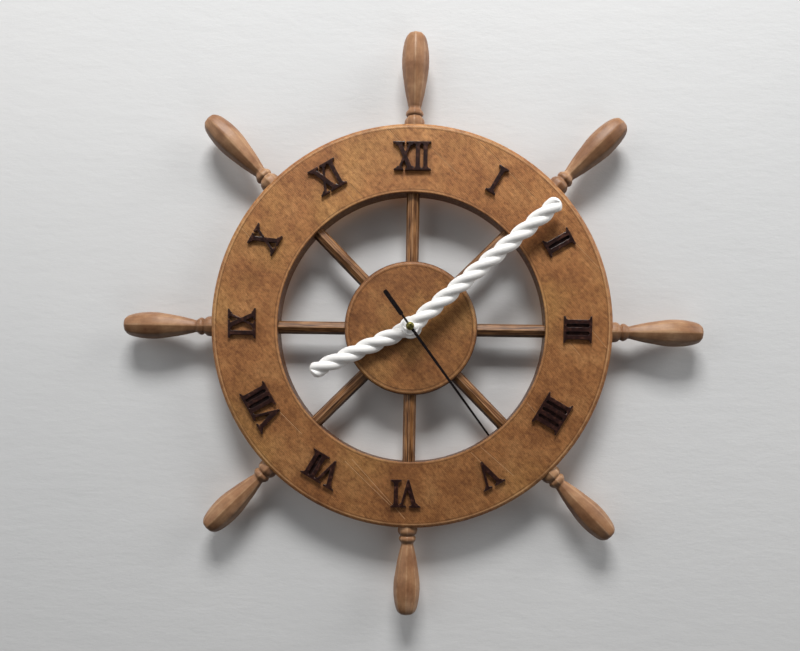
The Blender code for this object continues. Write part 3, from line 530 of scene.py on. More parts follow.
# Painted shade: the inner wall of the opening is darkened, as little light reaches it.
inside = maths("GREATER_THAN", y, dial_front + 0.0008) * maths(
    "LESS_THAN", from_centre, rim_opening_radius + 0.0006)
colour = mix(inside * 0.75, colour, (0.035, 0.016, 0.012))
scratched = maths("COMPARE", y, dial_front + 0.00015, 0.00012) * maths(
    "COMPARE", from_centre, scratched_ring, scratched_half)
colour = mix(scratched * 0.5, colour, (0.58, 0.37, 0.20))
connect(colour, shader.inputs["Base Color"])
connect(ramp(specks, (0.3, 0.58), (0.7, 0.36)), shader.inputs["Roughness"])
bump(shader, maths("MULTIPLY_ADD", layers, 0.35, brushed), 0.5, 0.00016)

wear(rim, face_stain)
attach(rim, "clock")
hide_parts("rim")

# Hub: a printed cap, flush with the rim, stained like it. A fine groove runs inside its rounded
# front edge, and a square pocket in its back holds the movement.
hub_radius = 0.0455
hub_round = 0.0022
hub_plate = 0.004
pocket_half = 0.0295
pocket_corner = 0.008
spoke_hub_depth = 0.004
bush_hole_radius = 0.0043
groove_radius = 0.0421


def add_cube(name, size, middle):
    """A block of a size, with its place in its mesh."""
    choose()
    bpy.ops.mesh.primitive_cube_add(size=1.0)
    block = named(name)
    block.scale = size
    block.location = middle
    settle(block)
    return block


def add_disc(name, radius, back, front, steps, centre=(0.0, 0.0)):
    """A round plate or pin that faces the front, at (x, z)."""
    choose()
    bpy.ops.mesh.primitive_cylinder_add(
        vertices=steps, radius=radius, depth=back - front,
        location=(centre[0], (back + front) / 2, centre[1]), rotation=(math.pi / 2, 0.0, 0.0))
    disc = named(name)
    settle(disc)
    return disc


hub = on_lathe("hub_cap", [
    (0.0, dial_back), (hub_radius, dial_back), (hub_radius, dial_front),
    (groove_radius + 0.0002, dial_front), (groove_radius, dial_front + 0.0002),
    (groove_radius - 0.0002, dial_front), (0.0, dial_front)], 160)
bevel_ring(hub, hub_radius, dial_front, hub_round, 6)
bevel_ring(hub, hub_radius, dial_back, back_round, 3)
pocket = add_cube(
    "pocket", (2 * pocket_half, 0.020, 2 * pocket_half),
    (0.0, dial_front + hub_plate + 0.01, 0.0))
bevel_where(pocket, lambda edge: runs(edge, "y"), pocket_corner, 8)
cutters = [pocket, add_disc("bush_hole", bush_hole_radius, dial_back, dial_front - overrun, 48)]
for turn in arm_turns:
    cutters.append(eight_sided(
        "spoke_socket", spoke_radius + corner_gap, hub_radius - spoke_hub_depth - socket_gap,
        hub_radius + overrun, turn))
cut_with(hub, cutters)
settle(hub)
flat_facets(hub)
wear(hub, face_stain)
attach(hub, "clock")
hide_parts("hub")

# Spokes: eight-sided printed rods, an edge to the front, stained darker, with the layers of the
# print running along them. Each is pushed into a socket in the hub and one in the rim.


def keep_grain(piece, shift):
    """Stores where each point lay off the arm's axis, before the piece was turned to its place."""
    grain = piece.data.attributes.new("grain", "FLOAT_VECTOR", "POINT")
    for number, corner in enumerate(piece.data.vertices):
        grain.data[number].vector = corner.co + Vector((0.0, -arm_depth, shift))


def ridge_lines(grain, width):
    """One along the eight ridges of a rod, from how far each point is round to the nearest."""
    x, y, z = parts_of(grain)
    round_axis = maths("PINGPONG", maths("ARCTAN2", x, y), math.pi / 8)
    return near(round_axis * length_of(x, y), 0.0, width)


def copy_of(piece, name):
    """Another one like it, with its own mesh."""
    other = piece.copy()
    other.data = piece.data.copy()
    other.name = name
    other.data.name = name
    bpy.context.scene.collection.objects.link(other)
    return other


def painted_shade_facing_down(shader, colour, least):
    """Painted shade: darkens what faces down, where little light comes from below."""
    facing = parts_of(from_node(shader.id_data, "NewGeometry", {}, "Normal"))[2]
    dark = ramp(maths("MULTIPLY_ADD", facing, 0.5, 0.5), (0.22, least), (0.50, 1.0))
    return mix(1.0, colour, dark, "MULTIPLY")


spoke_edge = 0.00028
spoke_stain, shader = new_finish("spoke_stain", (0.2, 0.09, 0.035), 0.38, gleam=0.22)
grain = from_node(shader.id_data, "Attribute", {}, "Vector", attribute_name="grain")
fibres = clouds(stretch(grain, (1.0, 1.0, 0.035)), 1500.0, 4.0, 0.6)
patches = clouds(grain, 90.0, 3.0)
colour = ramp(
    fibres, (0.34, (0.034, 0.011, 0.004)), (0.48, (0.140, 0.057, 0.020)),
    (0.66, (0.36, 0.178, 0.070)))
colour = mix(0.8, colour, ramp(patches, (0.3, 0.70), (0.7, 1.12)), "MULTIPLY")
# The ridges are paler: partly worn stain, partly a painted highlight where the light catches them.
ridge_wear_and_painted_highlight = ridge_lines(grain, 0.0006) * ramp(patches, (0.4, 0.15), (0.6, 0.7))
colour = mix(ridge_wear_and_painted_highlight, colour, (0.42, 0.25, 0.14))
# Painted shade on the facets that face down.
connect(painted_shade_facing_down(shader, colour, 0.32), shader.inputs["Base Color"])
bump(shader, fibres, 0.5, 0.00015)

first_spoke = eight_sided(
    "first_spoke", spoke_radius, hub_radius - spoke_hub_depth,
    rim_opening_radius + spoke_rim_depth, 0.0)
settle(first_spoke)
bevel_where(first_spoke, lambda edge: runs(edge, "z"), spoke_edge, 2)
for number, (name, turn) in enumerate(zip(arm_names, arm_turns)):
    spoke = copy_of(first_spoke, "spoke_rod_" + name)
    keep_grain(spoke, 0.31 * number)
    spoke.matrix_world = Matrix.Rotation(turn, 4, "Y")
    settle(spoke, 34.0)
    flat_facets(spoke)
    wear(spoke, spoke_stain)
    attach(spoke, "clock")
    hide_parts("spoke_" + name)
bpy.data.objects.remove(first_spoke, do_unlink=True)

# Handles: eight-sided printed grips with a collar, a bead and a blunt end, an edge to the front.
# The collar stands 3 mm inside the rim, and a tenon goes on into its socket.
grip_radius = 0.00955
handle_reach = 0.2
handle_profile = [
    (0.0012, 0.742), (0.0024, 0.744), (0.0034, 0.728), (0.0043, 0.692), (0.0050, 0.645),
    (0.0055, 0.595), (0.0059, 0.558), (0.0063, 0.550), (0.0067, 0.588), (0.0072, 0.625),
    (0.0079, 0.645), (0.0087, 0.641), (0.0094, 0.616), (0.0101, 0.573), (0.0108, 0.515),
    (0.0113, 0.474), (0.0119, 0.455), (0.0128, 0.464), (0.0142, 0.508), (0.0159, 0.552),
    (0.0174, 0.587), (0.0189, 0.626), (0.0204, 0.664), (0.0224, 0.708), (0.0244, 0.750),
    (0.0264, 0.787), (0.0284, 0.820), (0.0304, 0.856), (0.0324, 0.890), (0.0344, 0.925),
    (0.0364, 0.955), (0.0384, 0.978), (0.0404, 0.995), (0.0434, 1.000), (0.0454, 0.995),
    (0.0474, 0.985), (0.0492, 0.968), (0.0509, 0.946), (0.0527, 0.917), (0.0544, 0.882),
    (0.0560, 0.845), (0.0574, 0.804), (0.0584, 0.765), (0.0594, 0.717), (0.0602, 0.665),
    (0.0608, 0.610), (0.0614, 0.530), (0.0618, 0.440)]

first_handle = eight_sided(
    "first_handle", tenon_radius, rim_radius - tenon_depth, rim_radius - collar_depth, 0.0)
settle(first_handle)
edit(first_handle)
pick(first_handle, "FACE", lambda face: face.normal.z > 0.9)
radius = tenon_radius
reached = rim_radius - collar_depth
rings = [(collar_radius / grip_radius, reached), (collar_radius / grip_radius, rim_radius)]
rings += [(share, rim_radius + rise) for rise, share in handle_profile]
rings.append((0.02, handle_reach))
for share, height in rings:
    bpy.ops.mesh.extrude_region_move(
        TRANSFORM_OT_translate={"value": (0.0, 0.0, height - reached)})
    scale = share * grip_radius / radius
    bpy.ops.transform.resize(
        value=(scale, scale, 1.0), center_override=(0.0, arm_depth, height))
    radius = share * grip_radius
    reached = height
bpy.ops.mesh.merge(type="CENTER")


def runs_along(edge):
    """Says yes to the eight ridges from the collar's foot to the last ring before the tip."""
    lower, upper = sorted((end.co for end in edge.verts), key=lambda co: co.z)
    off_axis = math.hypot(upper.x, upper.y - arm_depth)
    return (
        lower.z > rim_radius - collar_depth - 0.0001 and upper.z - lower.z > 0.0002
        and off_axis > 0.0005)


pick(first_handle, "EDGE", runs_along)
bpy.ops.mesh.bevel(offset_type="PERCENT", offset_pct=17.0, segments=3, affect="EDGES")
close()

handle_stain, shader = new_finish("handle_stain", (0.4, 0.21, 0.12), 0.42, gleam=0.28)
grain = from_node(shader.id_data, "Attribute", {}, "Vector", attribute_name="grain")
fibres = clouds(stretch(grain, (1.0, 1.0, 0.12)), 700.0, 4.0, 0.6)
patches = clouds(grain, 75.0, 4.0, 0.6)
colour = ramp(
    patches, (0.30, (0.215, 0.098, 0.047)), (0.52, (0.31, 0.160, 0.080)),
    (0.72, (0.42, 0.240, 0.128)))
colour = mix(0.7, colour, ramp(fibres, (0.3, 0.72), (0.7, 1.14)), "MULTIPLY")
# The ridges are paler: partly worn stain, partly a painted highlight where the light catches them.
ridge_wear_and_painted_highlight = ridge_lines(grain, 0.0007) * ramp(patches, (0.4, 0.1), (0.62, 0.6))
colour = mix(ridge_wear_and_painted_highlight, colour, (0.50, 0.33, 0.20))
# Painted shade on the faces that face down.
connect(painted_shade_facing_down(shader, colour, 0.50), shader.inputs["Base Color"])
bump(shader, fibres, 0.25, 0.00012)

for number, (name, turn) in enumerate(zip(arm_names, arm_turns)):
    handle = copy_of(first_handle, "handle_grip_" + name)
    keep_grain(handle, 0.27 * number)
    handle.matrix_world = Matrix.Rotation(turn, 4, "Y")
    settle(handle, 60.0)
    wear(handle, handle_stain)
    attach(handle, "clock")
    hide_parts("handle_" + name)
bpy.data.objects.remove(first_handle, do_unlink=True)

# Numerals: raised serif letters of very dark brown plastic, glued to the rim with their tops
# outward. Each is strokes and bracketed serifs joined to one body, with softened edges.
numeral_circle = 0.1144
cap_height = 0.019
relief = 0.0022
glue_gap = 0.0002
stem_width = 0.0028
thick_stroke = 0.0031
thin_stroke = 0.0018
serif_reach = 0.0024
serif_thickness = 0.0009
bracket_height = 0.0027
bracket_curve = ((0.2, 0.55), (0.5, 0.22), (1.0, -0.03))
v_spread = 0.0047
v_foot = 0.0006
hair = 0.00015
tuck = 0.0004
shade_floor_thickness = 0.0005
letter_edge = 0.0002
x_spread = 0.0041
letter_steps = {"II": 0.0052, "VI": 0.0084, "XI": 0.0087, "IX": 0.0087}
numeral_words = ("I", "II", "III", "IIII", "V", "VI", "VII", "VIII", "IX", "X", "XI", "XII")
glued_off = (
    (-0.0008, 0.0006), (-0.0002, 0.0015), (-0.0013, 0.0006), (-0.0015, 0.0007),
    (-0.0026, 0.0004), (-0.0023, 0.0012), (-0.0019, 0.0017), (-0.0022, 0.0021),
    (-0.0011, 0.0009), (-0.0010, 0.0010), (-0.0002, 0.0014), (-0.0003, 0.0006))


def add_stroke(low_x, high_x, width, foot=tuck - cap_height / 2):
    """A stroke from foot to top: a bar whose top is slid sideways. Its ends lie in the serifs."""
    top = cap_height / 2 - tuck
    bar = add_cube("stroke", (width, relief, top - foot), (low_x, 0.0, (top + foot) / 2))
    edit(bar)
    pick(bar, "VERT", lambda corner: corner.co.z > 0)
    bpy.ops.transform.translate(value=(high_x - low_x, 0.0, 0.0))
    close()
    return bar


def add_shade_floor(low_x, high_x):
    """A thin dark floor between close strokes, painted shade where their gap lies in shadow."""
    return add_cube(
        "shade_floor", (high_x - low_x, shade_floor_thickness, cap_height - serif_thickness),
        ((low_x + high_x) / 2, relief / 2 - hair - shade_floor_thickness / 2, 0.0))


def add_serif(x, width, up):
    """A serif: a thin bar whose inner face is drawn out and narrowed in a curve to the stroke."""
    full = width + 2 * serif_reach
    bar = add_cube(
        "serif", (full, relief, serif_thickness),
        (x, 0.0, up * (cap_height - serif_thickness) / 2))
    edit(bar)
    pick(bar, "FACE", lambda face: face.normal.z * up < -0.9)
    drawn = 0.0
    for rise, reach in bracket_curve:
        step = (rise - drawn) * (bracket_height - serif_thickness)
        narrowed = width + 2 * reach * serif_reach
        bpy.ops.mesh.extrude_region_move(
            TRANSFORM_OT_translate={"value": (0.0, 0.0, -up * step)})
        bpy.ops.transform.resize(value=(narrowed / full, 1.0, 1.0), center_override=(x, 0.0, 0.0))
        full = narrowed
        drawn = rise
    close()
    return bar


def trim(bar, foot_x, top_x, right_side_off):
    """Cuts off what of a stroke lies beyond a line from the foot to the top."""
    across = Vector((cap_height, 0.0, foot_x - top_x)).normalized()
    edit(bar, "SELECT")
    bpy.ops.mesh.bisect(
        plane_co=(foot_x, 0.0, -cap_height / 2), plane_no=across, use_fill=True,
        clear_outer=right_side_off, clear_inner=not right_side_off)
    close()
    return bar


def letter_parts(letter, x):
    if letter == "I":
        return [add_stroke(x, x, stem_width), add_serif(x, stem_width, 1),
                add_serif(x, stem_width, -1)]
    if letter == "V":
        foot = -cap_height / 2
        thick = add_stroke(x - v_foot + thick_stroke / 2, x - v_spread, thick_stroke, foot)
        thin = add_stroke(x + v_foot - thin_stroke / 2, x + v_spread, thin_stroke, foot)
        return [
            trim(thick, x + v_foot - hair, x + v_spread + thin_stroke / 2 - hair, True),
            trim(thin, x - v_foot + hair, x - v_spread - thick_stroke / 2 + hair, False),
            add_serif(x - v_spread, thick_stroke, 1), add_serif(x + v_spread, thin_stroke, 1)]
    return [
        add_stroke(x + x_spread, x - x_spread, thick_stroke),
        add_stroke(x - x_spread, x + x_spread, thin_stroke),
        add_serif(x - x_spread, thick_stroke, 1), add_serif(x + x_spread, thin_stroke, 1),
        add_serif(x - x_spread, thin_stroke, -1), add_serif(x + x_spread, thick_stroke, -1)]


def round_sharp(piece, width, segments):
    """Rounds every sharp edge a little."""
    apply_step(
        piece, "BEVEL", width=width, segments=segments, limit_method="ANGLE",
        angle_limit=math.radians(30.0), use_clamp_overlap=True)


def one_letterform(parts):
    """Softens and joins the parts, each a hair off the last so that no two faces meet flat."""
    for number, part in enumerate(parts):
        part.scale = (1.0, 1.0 + 0.003 * number, 1.0)
        part.location = (0.0, 0.0, 0.000003 * number)
        settle(part)
        round_sharp(part, letter_edge, 2)
    form = parts[0]
    cut_with(form, parts[1:], "UNION")
    for corner in form.data.vertices:
        if abs(corner.co.y) > 0.49 * relief:
            corner.co.y = math.copysign(relief / 2, corner.co.y)
    edit(form, "SELECT")
    bpy.ops.mesh.remove_doubles(threshold=0.00001)
    bpy.ops.mesh.dissolve_limited(angle_limit=math.radians(1.0))
    bpy.ops.mesh.quads_convert_to_tris(ngon_method="CLIP")
    close()
    return form


def mottled(shader, pattern, colours, relief, shine=(), texture=None):
    """Draws a finish by a pattern, and its shine and height by the same or a finer one."""
    texture = texture or pattern
    connect(ramp(pattern, *colours), shader.inputs["Base Color"])
    if shine:
        low, high = shine
        connect(ramp(texture, (0.3, low), (0.7, high)), shader.inputs["Roughness"])
    bump(shader, texture, *relief)


numeral_paint, shader = new_finish("numeral_paint", (0.014, 0.006, 0.005), 0.30)
smears = clouds(own_place(shader), 420.0, 4.0, 0.65)
mottled(shader, smears, (
    (0.35, (0.010, 0.003, 0.003)), (0.55, (0.024, 0.008, 0.006)),
    (0.72, (0.085, 0.034, 0.022))), (0.3, 0.0002))

for hour, word in enumerate(numeral_words, start=1):
    half = {"I": stem_width / 2, "V": v_spread, "X": x_spread}
    places = [0.0]
    for before, after in zip(word, word[1:]):
        places.append(places[-1] + letter_steps[before + after])
    middle = (places[0] - half[word[0]] + places[-1] + half[word[-1]]) / 2
    parts = []
    for letter, x in zip(word, places):
        parts += letter_parts(letter, x - middle)
    # Painted shade: the numerals whose gaps between strokes lie across the light from above get a
    # dark floor in those gaps, where they fall in shadow.
    if hour in (2, 3, 4, 7, 8):
        parts.append(add_shade_floor(places[word.index("I")] - middle, places[-1] - middle))
    numeral = one_letterform(parts)
    numeral.name = f"raised_numeral_{hour}"
    numeral.data.name = numeral.name
    turn = math.radians(30.0 * hour)
    face = dial_front - glue_gap - relief / 2
    lift = Matrix.Translation((0.0, face, numeral_circle))
    off_x, off_z = glued_off[hour - 1]
    off = Matrix.Translation((off_x, 0.0, off_z))
    numeral.matrix_world = off @ Matrix.Rotation(turn, 4, "Y") @ lift
    settle(numeral, 35.0)
    flat_facets(numeral)
    wear(numeral, numeral_paint)
    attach(numeral, "clock")
    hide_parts(f"numeral_{hour}")

# Hour and minute hands: cast three-strand rope, white, flat at the back, with a round boss that
# is pushed on its shaft. The strands lean to the right, and the end is rounded.
rope_radius = 0.0058
strand_radius = 0.0031
strand_place = rope_radius - strand_radius
rope_lay = 0.0407
rope_depth = 0.0055
rope_tail = 0.004
dome_length = 0.0052
strand_start = math.radians(60.0) - 2 * math.pi * rope_tail / rope_lay
lay_angle = math.atan(2 * math.pi * strand_place / rope_lay)
cast_grain = 0.00025
boss_edge = 0.0004


def add_strand(number, length):
    """One strand, twisted round the hand's axis and cut to a rounded end."""
    choose()
    bpy.ops.mesh.primitive_circle_add(
        vertices=32, radius=strand_radius, location=(strand_place, 0.0, 0.0))
    strand = named("strand")
    strand.scale = (1.0, 1.0 / math.cos(lay_angle), 1.0)
    settle(strand)
    strand.rotation_euler = (0.0, 0.0, strand_start + 2 * math.pi * number / 3)
    strand.location = (0.0, 0.0, -rope_tail)
    settle(strand)
    straight = length + 0.001 + rope_tail
    steps = int(straight / 0.0009)
    apply_step(
        strand, "SCREW", axis="Z", angle=2 * math.pi * straight / rope_lay,
        screw_offset=straight, steps=steps, render_steps=steps, use_merge_vertices=False)
    edit(strand, "SELECT")
    bpy.ops.mesh.fill_holes(sides=0)
    bpy.ops.mesh.normals_make_consistent(inside=False)
    close()
    outline = [(0.0, -2 * rope_tail), (rope_radius, -2 * rope_tail)]
    for step in range(13):
        slope = math.radians(90.0 * step / 13)
        outline.append((
            rope_radius * math.cos(slope), length - dome_length * (1.0 - math.sin(slope))))
    outline.append((0.0, length))
    round_end = on_lathe("round_end", outline, 72)
    round_end.matrix_world = Matrix.Rotation(math.pi / 2, 4, "X")
    settle(round_end)
    cut_with(strand, [round_end], "INTERSECT")
    return strand


def rope_hand(name, length, turn, back, boss_steps, bore_radius):
    """A hand from its boss to its rounded end, made pointing to twelve and then turned."""
    strands = [add_strand(number, length) for number in range(3)]
    choose(strands[0])
    for strand in strands:
        strand.select_set(True)
    bpy.ops.object.join()
    hand = named(name)
    hand.location = (0.0, back - rope_depth + rope_radius, 0.0)
    settle(hand)
    apply_step(hand, "REMESH", mode="VOXEL", voxel_size=cast_grain)
    apply_step(hand, "SMOOTH", factor=0.5, iterations=4)
    for boss_radius, boss_depth in boss_steps:
        boss = add_disc("boss", boss_radius, back + cast_grain, back - boss_depth, 96)
        bevel_ring(boss, boss_radius, back - boss_depth, boss_edge, 3)
        cut_with(hand, [boss], "UNION")
    edit(hand, "SELECT")
    bpy.ops.mesh.bisect(
        plane_co=(0.0, back, 0.0), plane_no=(0.0, 1.0, 0.0), use_fill=True, clear_outer=True,
        threshold=0.000001)
    close()
    cut_with(hand, [add_disc("bore", bore_radius, back + 0.01, back - 0.02, 48)])
    hand.matrix_world = Matrix.Rotation(turn, 4, "Y")
    settle(hand, 40.0)
    wear(hand, rope_white)
    return hand


rope_white, shader = new_finish("rope_white", (0.84, 0.84, 0.83), 0.50)
faint = clouds(own_place(shader), 300.0, 3.0)
mottled(shader, faint, ((0.3, (0.81, 0.805, 0.79)), (0.7, (0.87, 0.865, 0.86))), (0.15, 0.0001))

for name, body, node, numbers, boss_steps in (
    ("hour_rope", "hours", "hour_hand", (0.0748, 245.3, -0.0253, 0.0028), [(0.0075, 0.0035)]),
    ("minute_rope", "minutes", "minute_hand", (0.1292, 49.1, -0.0311, 0.0018), [
        (0.0059, 0.0036), (0.0031, 0.0055)]),
):
    length, degrees, back, bore_radius = numbers
    hand = rope_hand(name, length, math.radians(degrees), back, boss_steps, bore_radius)
    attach(hand, body)
    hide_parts(node)

# Second hand: a thin black needle with a small disc, a neck and a bar as counterweight, pressed
# on the stem of an olive-brass cap.
second_turn = math.radians(143.2)
needle_back = -0.0381
needle_front = -0.0386
needle_length = 0.0895
root_width = 0.0020
tip_width = 0.0013
neck_width = 0.0014
neck_length = 0.009
bar_width = 0.0030
tail_length = 0.029
disc_radius = 0.0023
stem_radius = 0.0013
arbor_hole = 0.0008
needle_edge = 0.0001


def add_block(name, low, high):
    """A block between two corners."""
    return add_cube(
        name, [above - below for below, above in zip(low, high)],
        [(above + below) / 2 for below, above in zip(low, high)])


def bevel_corners(block, radius, segments, wanted=lambda edge: True):
    """Rounds the edges of a block that run from its back to its front."""
    depth = 0.9 * max(block.dimensions.y, 0.0001)
    bevel_where(block, lambda edge: wanted(edge) and runs(edge, "y", depth), radius, segments)


needle = add_block(
    "second_needle", (-root_width / 2, needle_front, 0.0),
    (root_width / 2, needle_back, needle_length))
edit(needle)
pick(needle, "VERT", lambda corner: corner.co.z > needle_length / 2)
bpy.ops.transform.resize(
    value=(tip_width / root_width, 1.0, 1.0), center_override=(0.0, 0.0, needle_length))
close()
bevel_corners(needle, 0.0003, 3, lambda edge: edge.verts[0].co.z > needle_length / 2)
neck = add_block(
    "neck", (-neck_width / 2, needle_front, -neck_length - bar_width),
    (neck_width / 2, needle_back, 0.0))
weight = add_block(
    "weight", (-bar_width / 2, needle_front, -tail_length),
    (bar_width / 2, needle_back, -neck_length))
bevel_corners(weight, bar_width / 3, 5)
disc = add_disc("disc", disc_radius, needle_back, needle_front, 64)
cut_with(needle, [neck, weight, disc], "UNION")
hole = add_disc("hole", stem_radius + socket_gap, needle_back + 0.01, needle_front - 0.01, 48)
cut_with(needle, [hole])


def soften_edges(piece, width, segments=2):
    """Flattens split faces together, then rounds every sharp edge a little."""
    edit(piece, "SELECT")
    bpy.ops.mesh.dissolve_limited(angle_limit=math.radians(0.5))
    close()
    round_sharp(piece, width, segments)


soften_edges(needle, needle_edge)
needle.matrix_world = Matrix.Rotation(second_turn, 4, "Y")
settle(needle)
needle_paint, shader = new_finish("needle_paint", (0.006, 0.004, 0.005), 0.45, gleam=0.12)
grit = clouds(own_place(shader), 900.0, 3.0)
mottled(
    shader, grit, ((0.35, (0.004, 0.003, 0.003)), (0.7, (0.010, 0.007, 0.008))),
    (0.12, 0.00005), (0.36, 0.55))
wear(needle, needle_paint)
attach(needle, "seconds")
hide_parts("second_hand")

cap_radius = 0.0027
dome_back = -0.0388
dome_height = 0.0014
outline = [(0.0, needle_front), (arbor_hole, needle_front), (arbor_hole, needle_back),
           (stem_radius, needle_back), (stem_radius, dome_back), (cap_radius - 0.0001, dome_back)]
for step in range(1, 12):
    slope = math.radians(90.0 * step / 12)
    outline.append((cap_radius * math.cos(slope), dome_back - dome_height * math.sin(slope)))
outline.append((0.0, dome_back - dome_height))
cap = on_lathe("second_cap", outline, 72)
settle(cap)
olive_brass, shader = new_finish("olive_brass", (0.20, 0.18, 0.06), 0.32, 0.85)
tarnish = clouds(own_place(shader), 700.0, 4.0)
mottled(
    shader, tarnish, ((0.35, (0.095, 0.085, 0.022)), (0.65, (0.185, 0.165, 0.052))),
    (0.15, 0.00005), (0.24, 0.42))
wear(cap, olive_brass)
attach(cap, "seconds")
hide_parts("second_hand_bush")

# Fixings: turned brass nuts and washer on the threaded bush, and the pressed steel plate that
# hangs the clock on the wall. Their sharp edges are taken off.


def softened_copy(node, name, width, segments=2):
    """A copy of a plain part with its corners joined up and its sharp edges rounded."""
    piece = copy_of(frame["nodes"][node], name)
    piece.parent = None
    piece.matrix_world = Matrix.Identity(4)
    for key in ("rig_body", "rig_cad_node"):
        if key in piece:
            del piece[key]
    edit(piece, "SELECT")
    bpy.ops.mesh.remove_doubles(threshold=0.000002)
    bpy.ops.mesh.normals_make_consistent(inside=False)
    close()
    soften_edges(piece, width, segments)
    settle(piece)
    return piece


def metal(name, light, dark, roughness, grain_scale):
    """Worked metal: a little colour drift, fine turning marks and uneven polish."""
    finish, shader = new_finish(name, light, roughness, 1.0)
    place = own_place(shader)
    mottled(
        shader, clouds(place, 160.0, 4.0), ((0.35, dark), (0.65, light)), (0.12, 0.00005),
        (roughness - 0.08, roughness + 0.1), clouds(place, grain_scale, 3.0))
    return finish


turned_brass = metal("turned_brass", (0.76, 0.57, 0.25), (0.66, 0.47, 0.19), 0.28, 1800.0)
pressed_steel = metal("pressed_steel", (0.58, 0.58, 0.57), (0.48, 0.48, 0.48), 0.34, 1200.0)
for node, name, finish, slot, width, body in (
    ("hex_nut", "bush_nut", turned_brass, "brass", 0.0002, "clock"),
    ("brass_washer", "flat_washer", turned_brass, "brass", 0.00008, "clock"),
    ("hand_nut", "front_nut", turned_brass, "brass", 0.00012, "minutes"),
    ("wall_hanger", "hanging_plate", pressed_steel, "steel", 0.00015, "clock"),
):
    fixing = softened_copy(node, name, width)
    wear(fixing, finish)
    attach(fixing, body)
    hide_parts(node)

# Movement case: a black moulded shell with an open battery bay, a cup for the setting knob, a
# thumb scoop over the battery and a plus and a minus sunk beside it.
case_half = 0.028
case_wall = 0.0012
case_corner = 0.004
case_edge = 0.0005
chamber_half = case_half - case_wall
shell_front = -0.0145
bay_top = -0.0120
chamber_low = -0.0110
knob_x = 0.01152
recess_radius = 0.0036
recess_floor = -0.0026
knob_hole_radius = 0.0011
scoop_radius = 0.008
scoop_y = 0.00735
pivot_places = ((0.0, 0.0), (-0.0070, 0.0), (-0.01175, 0.00475))

shell = add_block("case_shell", (-case_half, shell_front, -case_half), (case_half, 0.0, case_half))
bevel_corners(shell, case_corner, 8)
bevel_where(
    shell, lambda edge: all(abs(end.co.y) < 0.00001 for end in edge.verts), case_edge, 3)
chamber = add_block(
    "chamber", (-chamber_half, shell_front - overrun, chamber_low),
    (chamber_half, -case_wall, chamber_half))
bevel_corners(chamber, case_corner - case_wall, 6, lambda edge: edge.verts[0].co.z > 0.0)
bay = add_block(
    "bay", (-chamber_half, shell_front - overrun, -chamber_half), (chamber_half, overrun, bay_top))
bevel_corners(bay, case_corner - case_wall, 6, lambda edge: edge.verts[0].co.z < -0.02)
cut_with(shell, [chamber, bay])
cup = add_disc(
    "cup", recess_radius + case_wall, -case_wall + 0.0002, recess_floor - case_wall, 48,
    (knob_x, 0.0))
cut_with(shell, [cup], "UNION")
choose()
bpy.ops.mesh.primitive_uv_sphere_add(
    segments=64, ring_count=32, radius=scoop_radius, location=(0.0, scoop_y, bay_top + 0.0002))
scoop = named("thumb_scoop")
settle(scoop)
cutters = [
    add_disc("recess", recess_radius, overrun, recess_floor, 64, (knob_x, 0.0)),
    add_disc("knob_hole", knob_hole_radius, overrun, recess_floor - 0.01, 32, (knob_x, 0.0)),
    scoop,
]
for centre in pivot_places:
    cutters.append(add_disc(
        "pivot", arbor_hole, -case_wall + 0.0006, -case_wall - 0.001, 24, centre))
mark_place = 0.0215
mark_half = 0.0014
mark_line = 0.00035
mark_floor = -0.0003
mark_z = bay_top + 0.0036
for x, tall in ((mark_place, mark_line), (mark_place, mark_half), (-mark_place, mark_line)):
    wide = mark_line if tall == mark_half else mark_half
    cutters.append(add_block(
        "mark", (x - wide, mark_floor, mark_z - tall), (x + wide, overrun, mark_z + tall)))
ejector_radius = 0.0014
for x, z in ((-0.0225, 0.0225), (0.0225, 0.0225), (-0.0225, 0.001), (0.0225, 0.001)):
    cutters.append(add_disc("ejector_mark", ejector_radius, overrun, -0.00015, 40, (x, z)))
cut_with(shell, cutters)
settle(shell)


def plastic(name, dark, light, roughness, texture_scale, texture_depth):
    """Moulded plastic with the fine spark texture of its mould."""
    finish, shader = new_finish(name, dark, roughness)
    place = own_place(shader)
    mottled(
        shader, clouds(place, 60.0, 3.0), ((0.3, dark), (0.7, light)), (0.35, texture_depth),
        (roughness - 0.06, roughness + 0.1), clouds(place, texture_scale, 2.0))
    return finish


case_plastic = plastic(
    "case_plastic", (0.014, 0.014, 0.015), (0.022, 0.022, 0.023), 0.5, 2600.0, 0.00006)
wear(shell, case_plastic)
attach(shell, "clock")
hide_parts("rear_case")

knob = softened_copy("setting_knob", "time_knob", 0.00012)
wear(knob, case_plastic)
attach(knob, "motion")
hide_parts("setting_knob")

# Battery: a round cell in a printed plastic sleeve, shrunk over its edges, with a steel button
# at the plus end. It lies between a flat contact and a coiled one.
battery_radius = 0.007
battery_left = -0.0242
battery_right = 0.0258
button_shoulder = 0.0248
button_radius = 0.0025
battery_y = -0.0075
battery_z = -0.0193
sleeve_edge = 0.0005

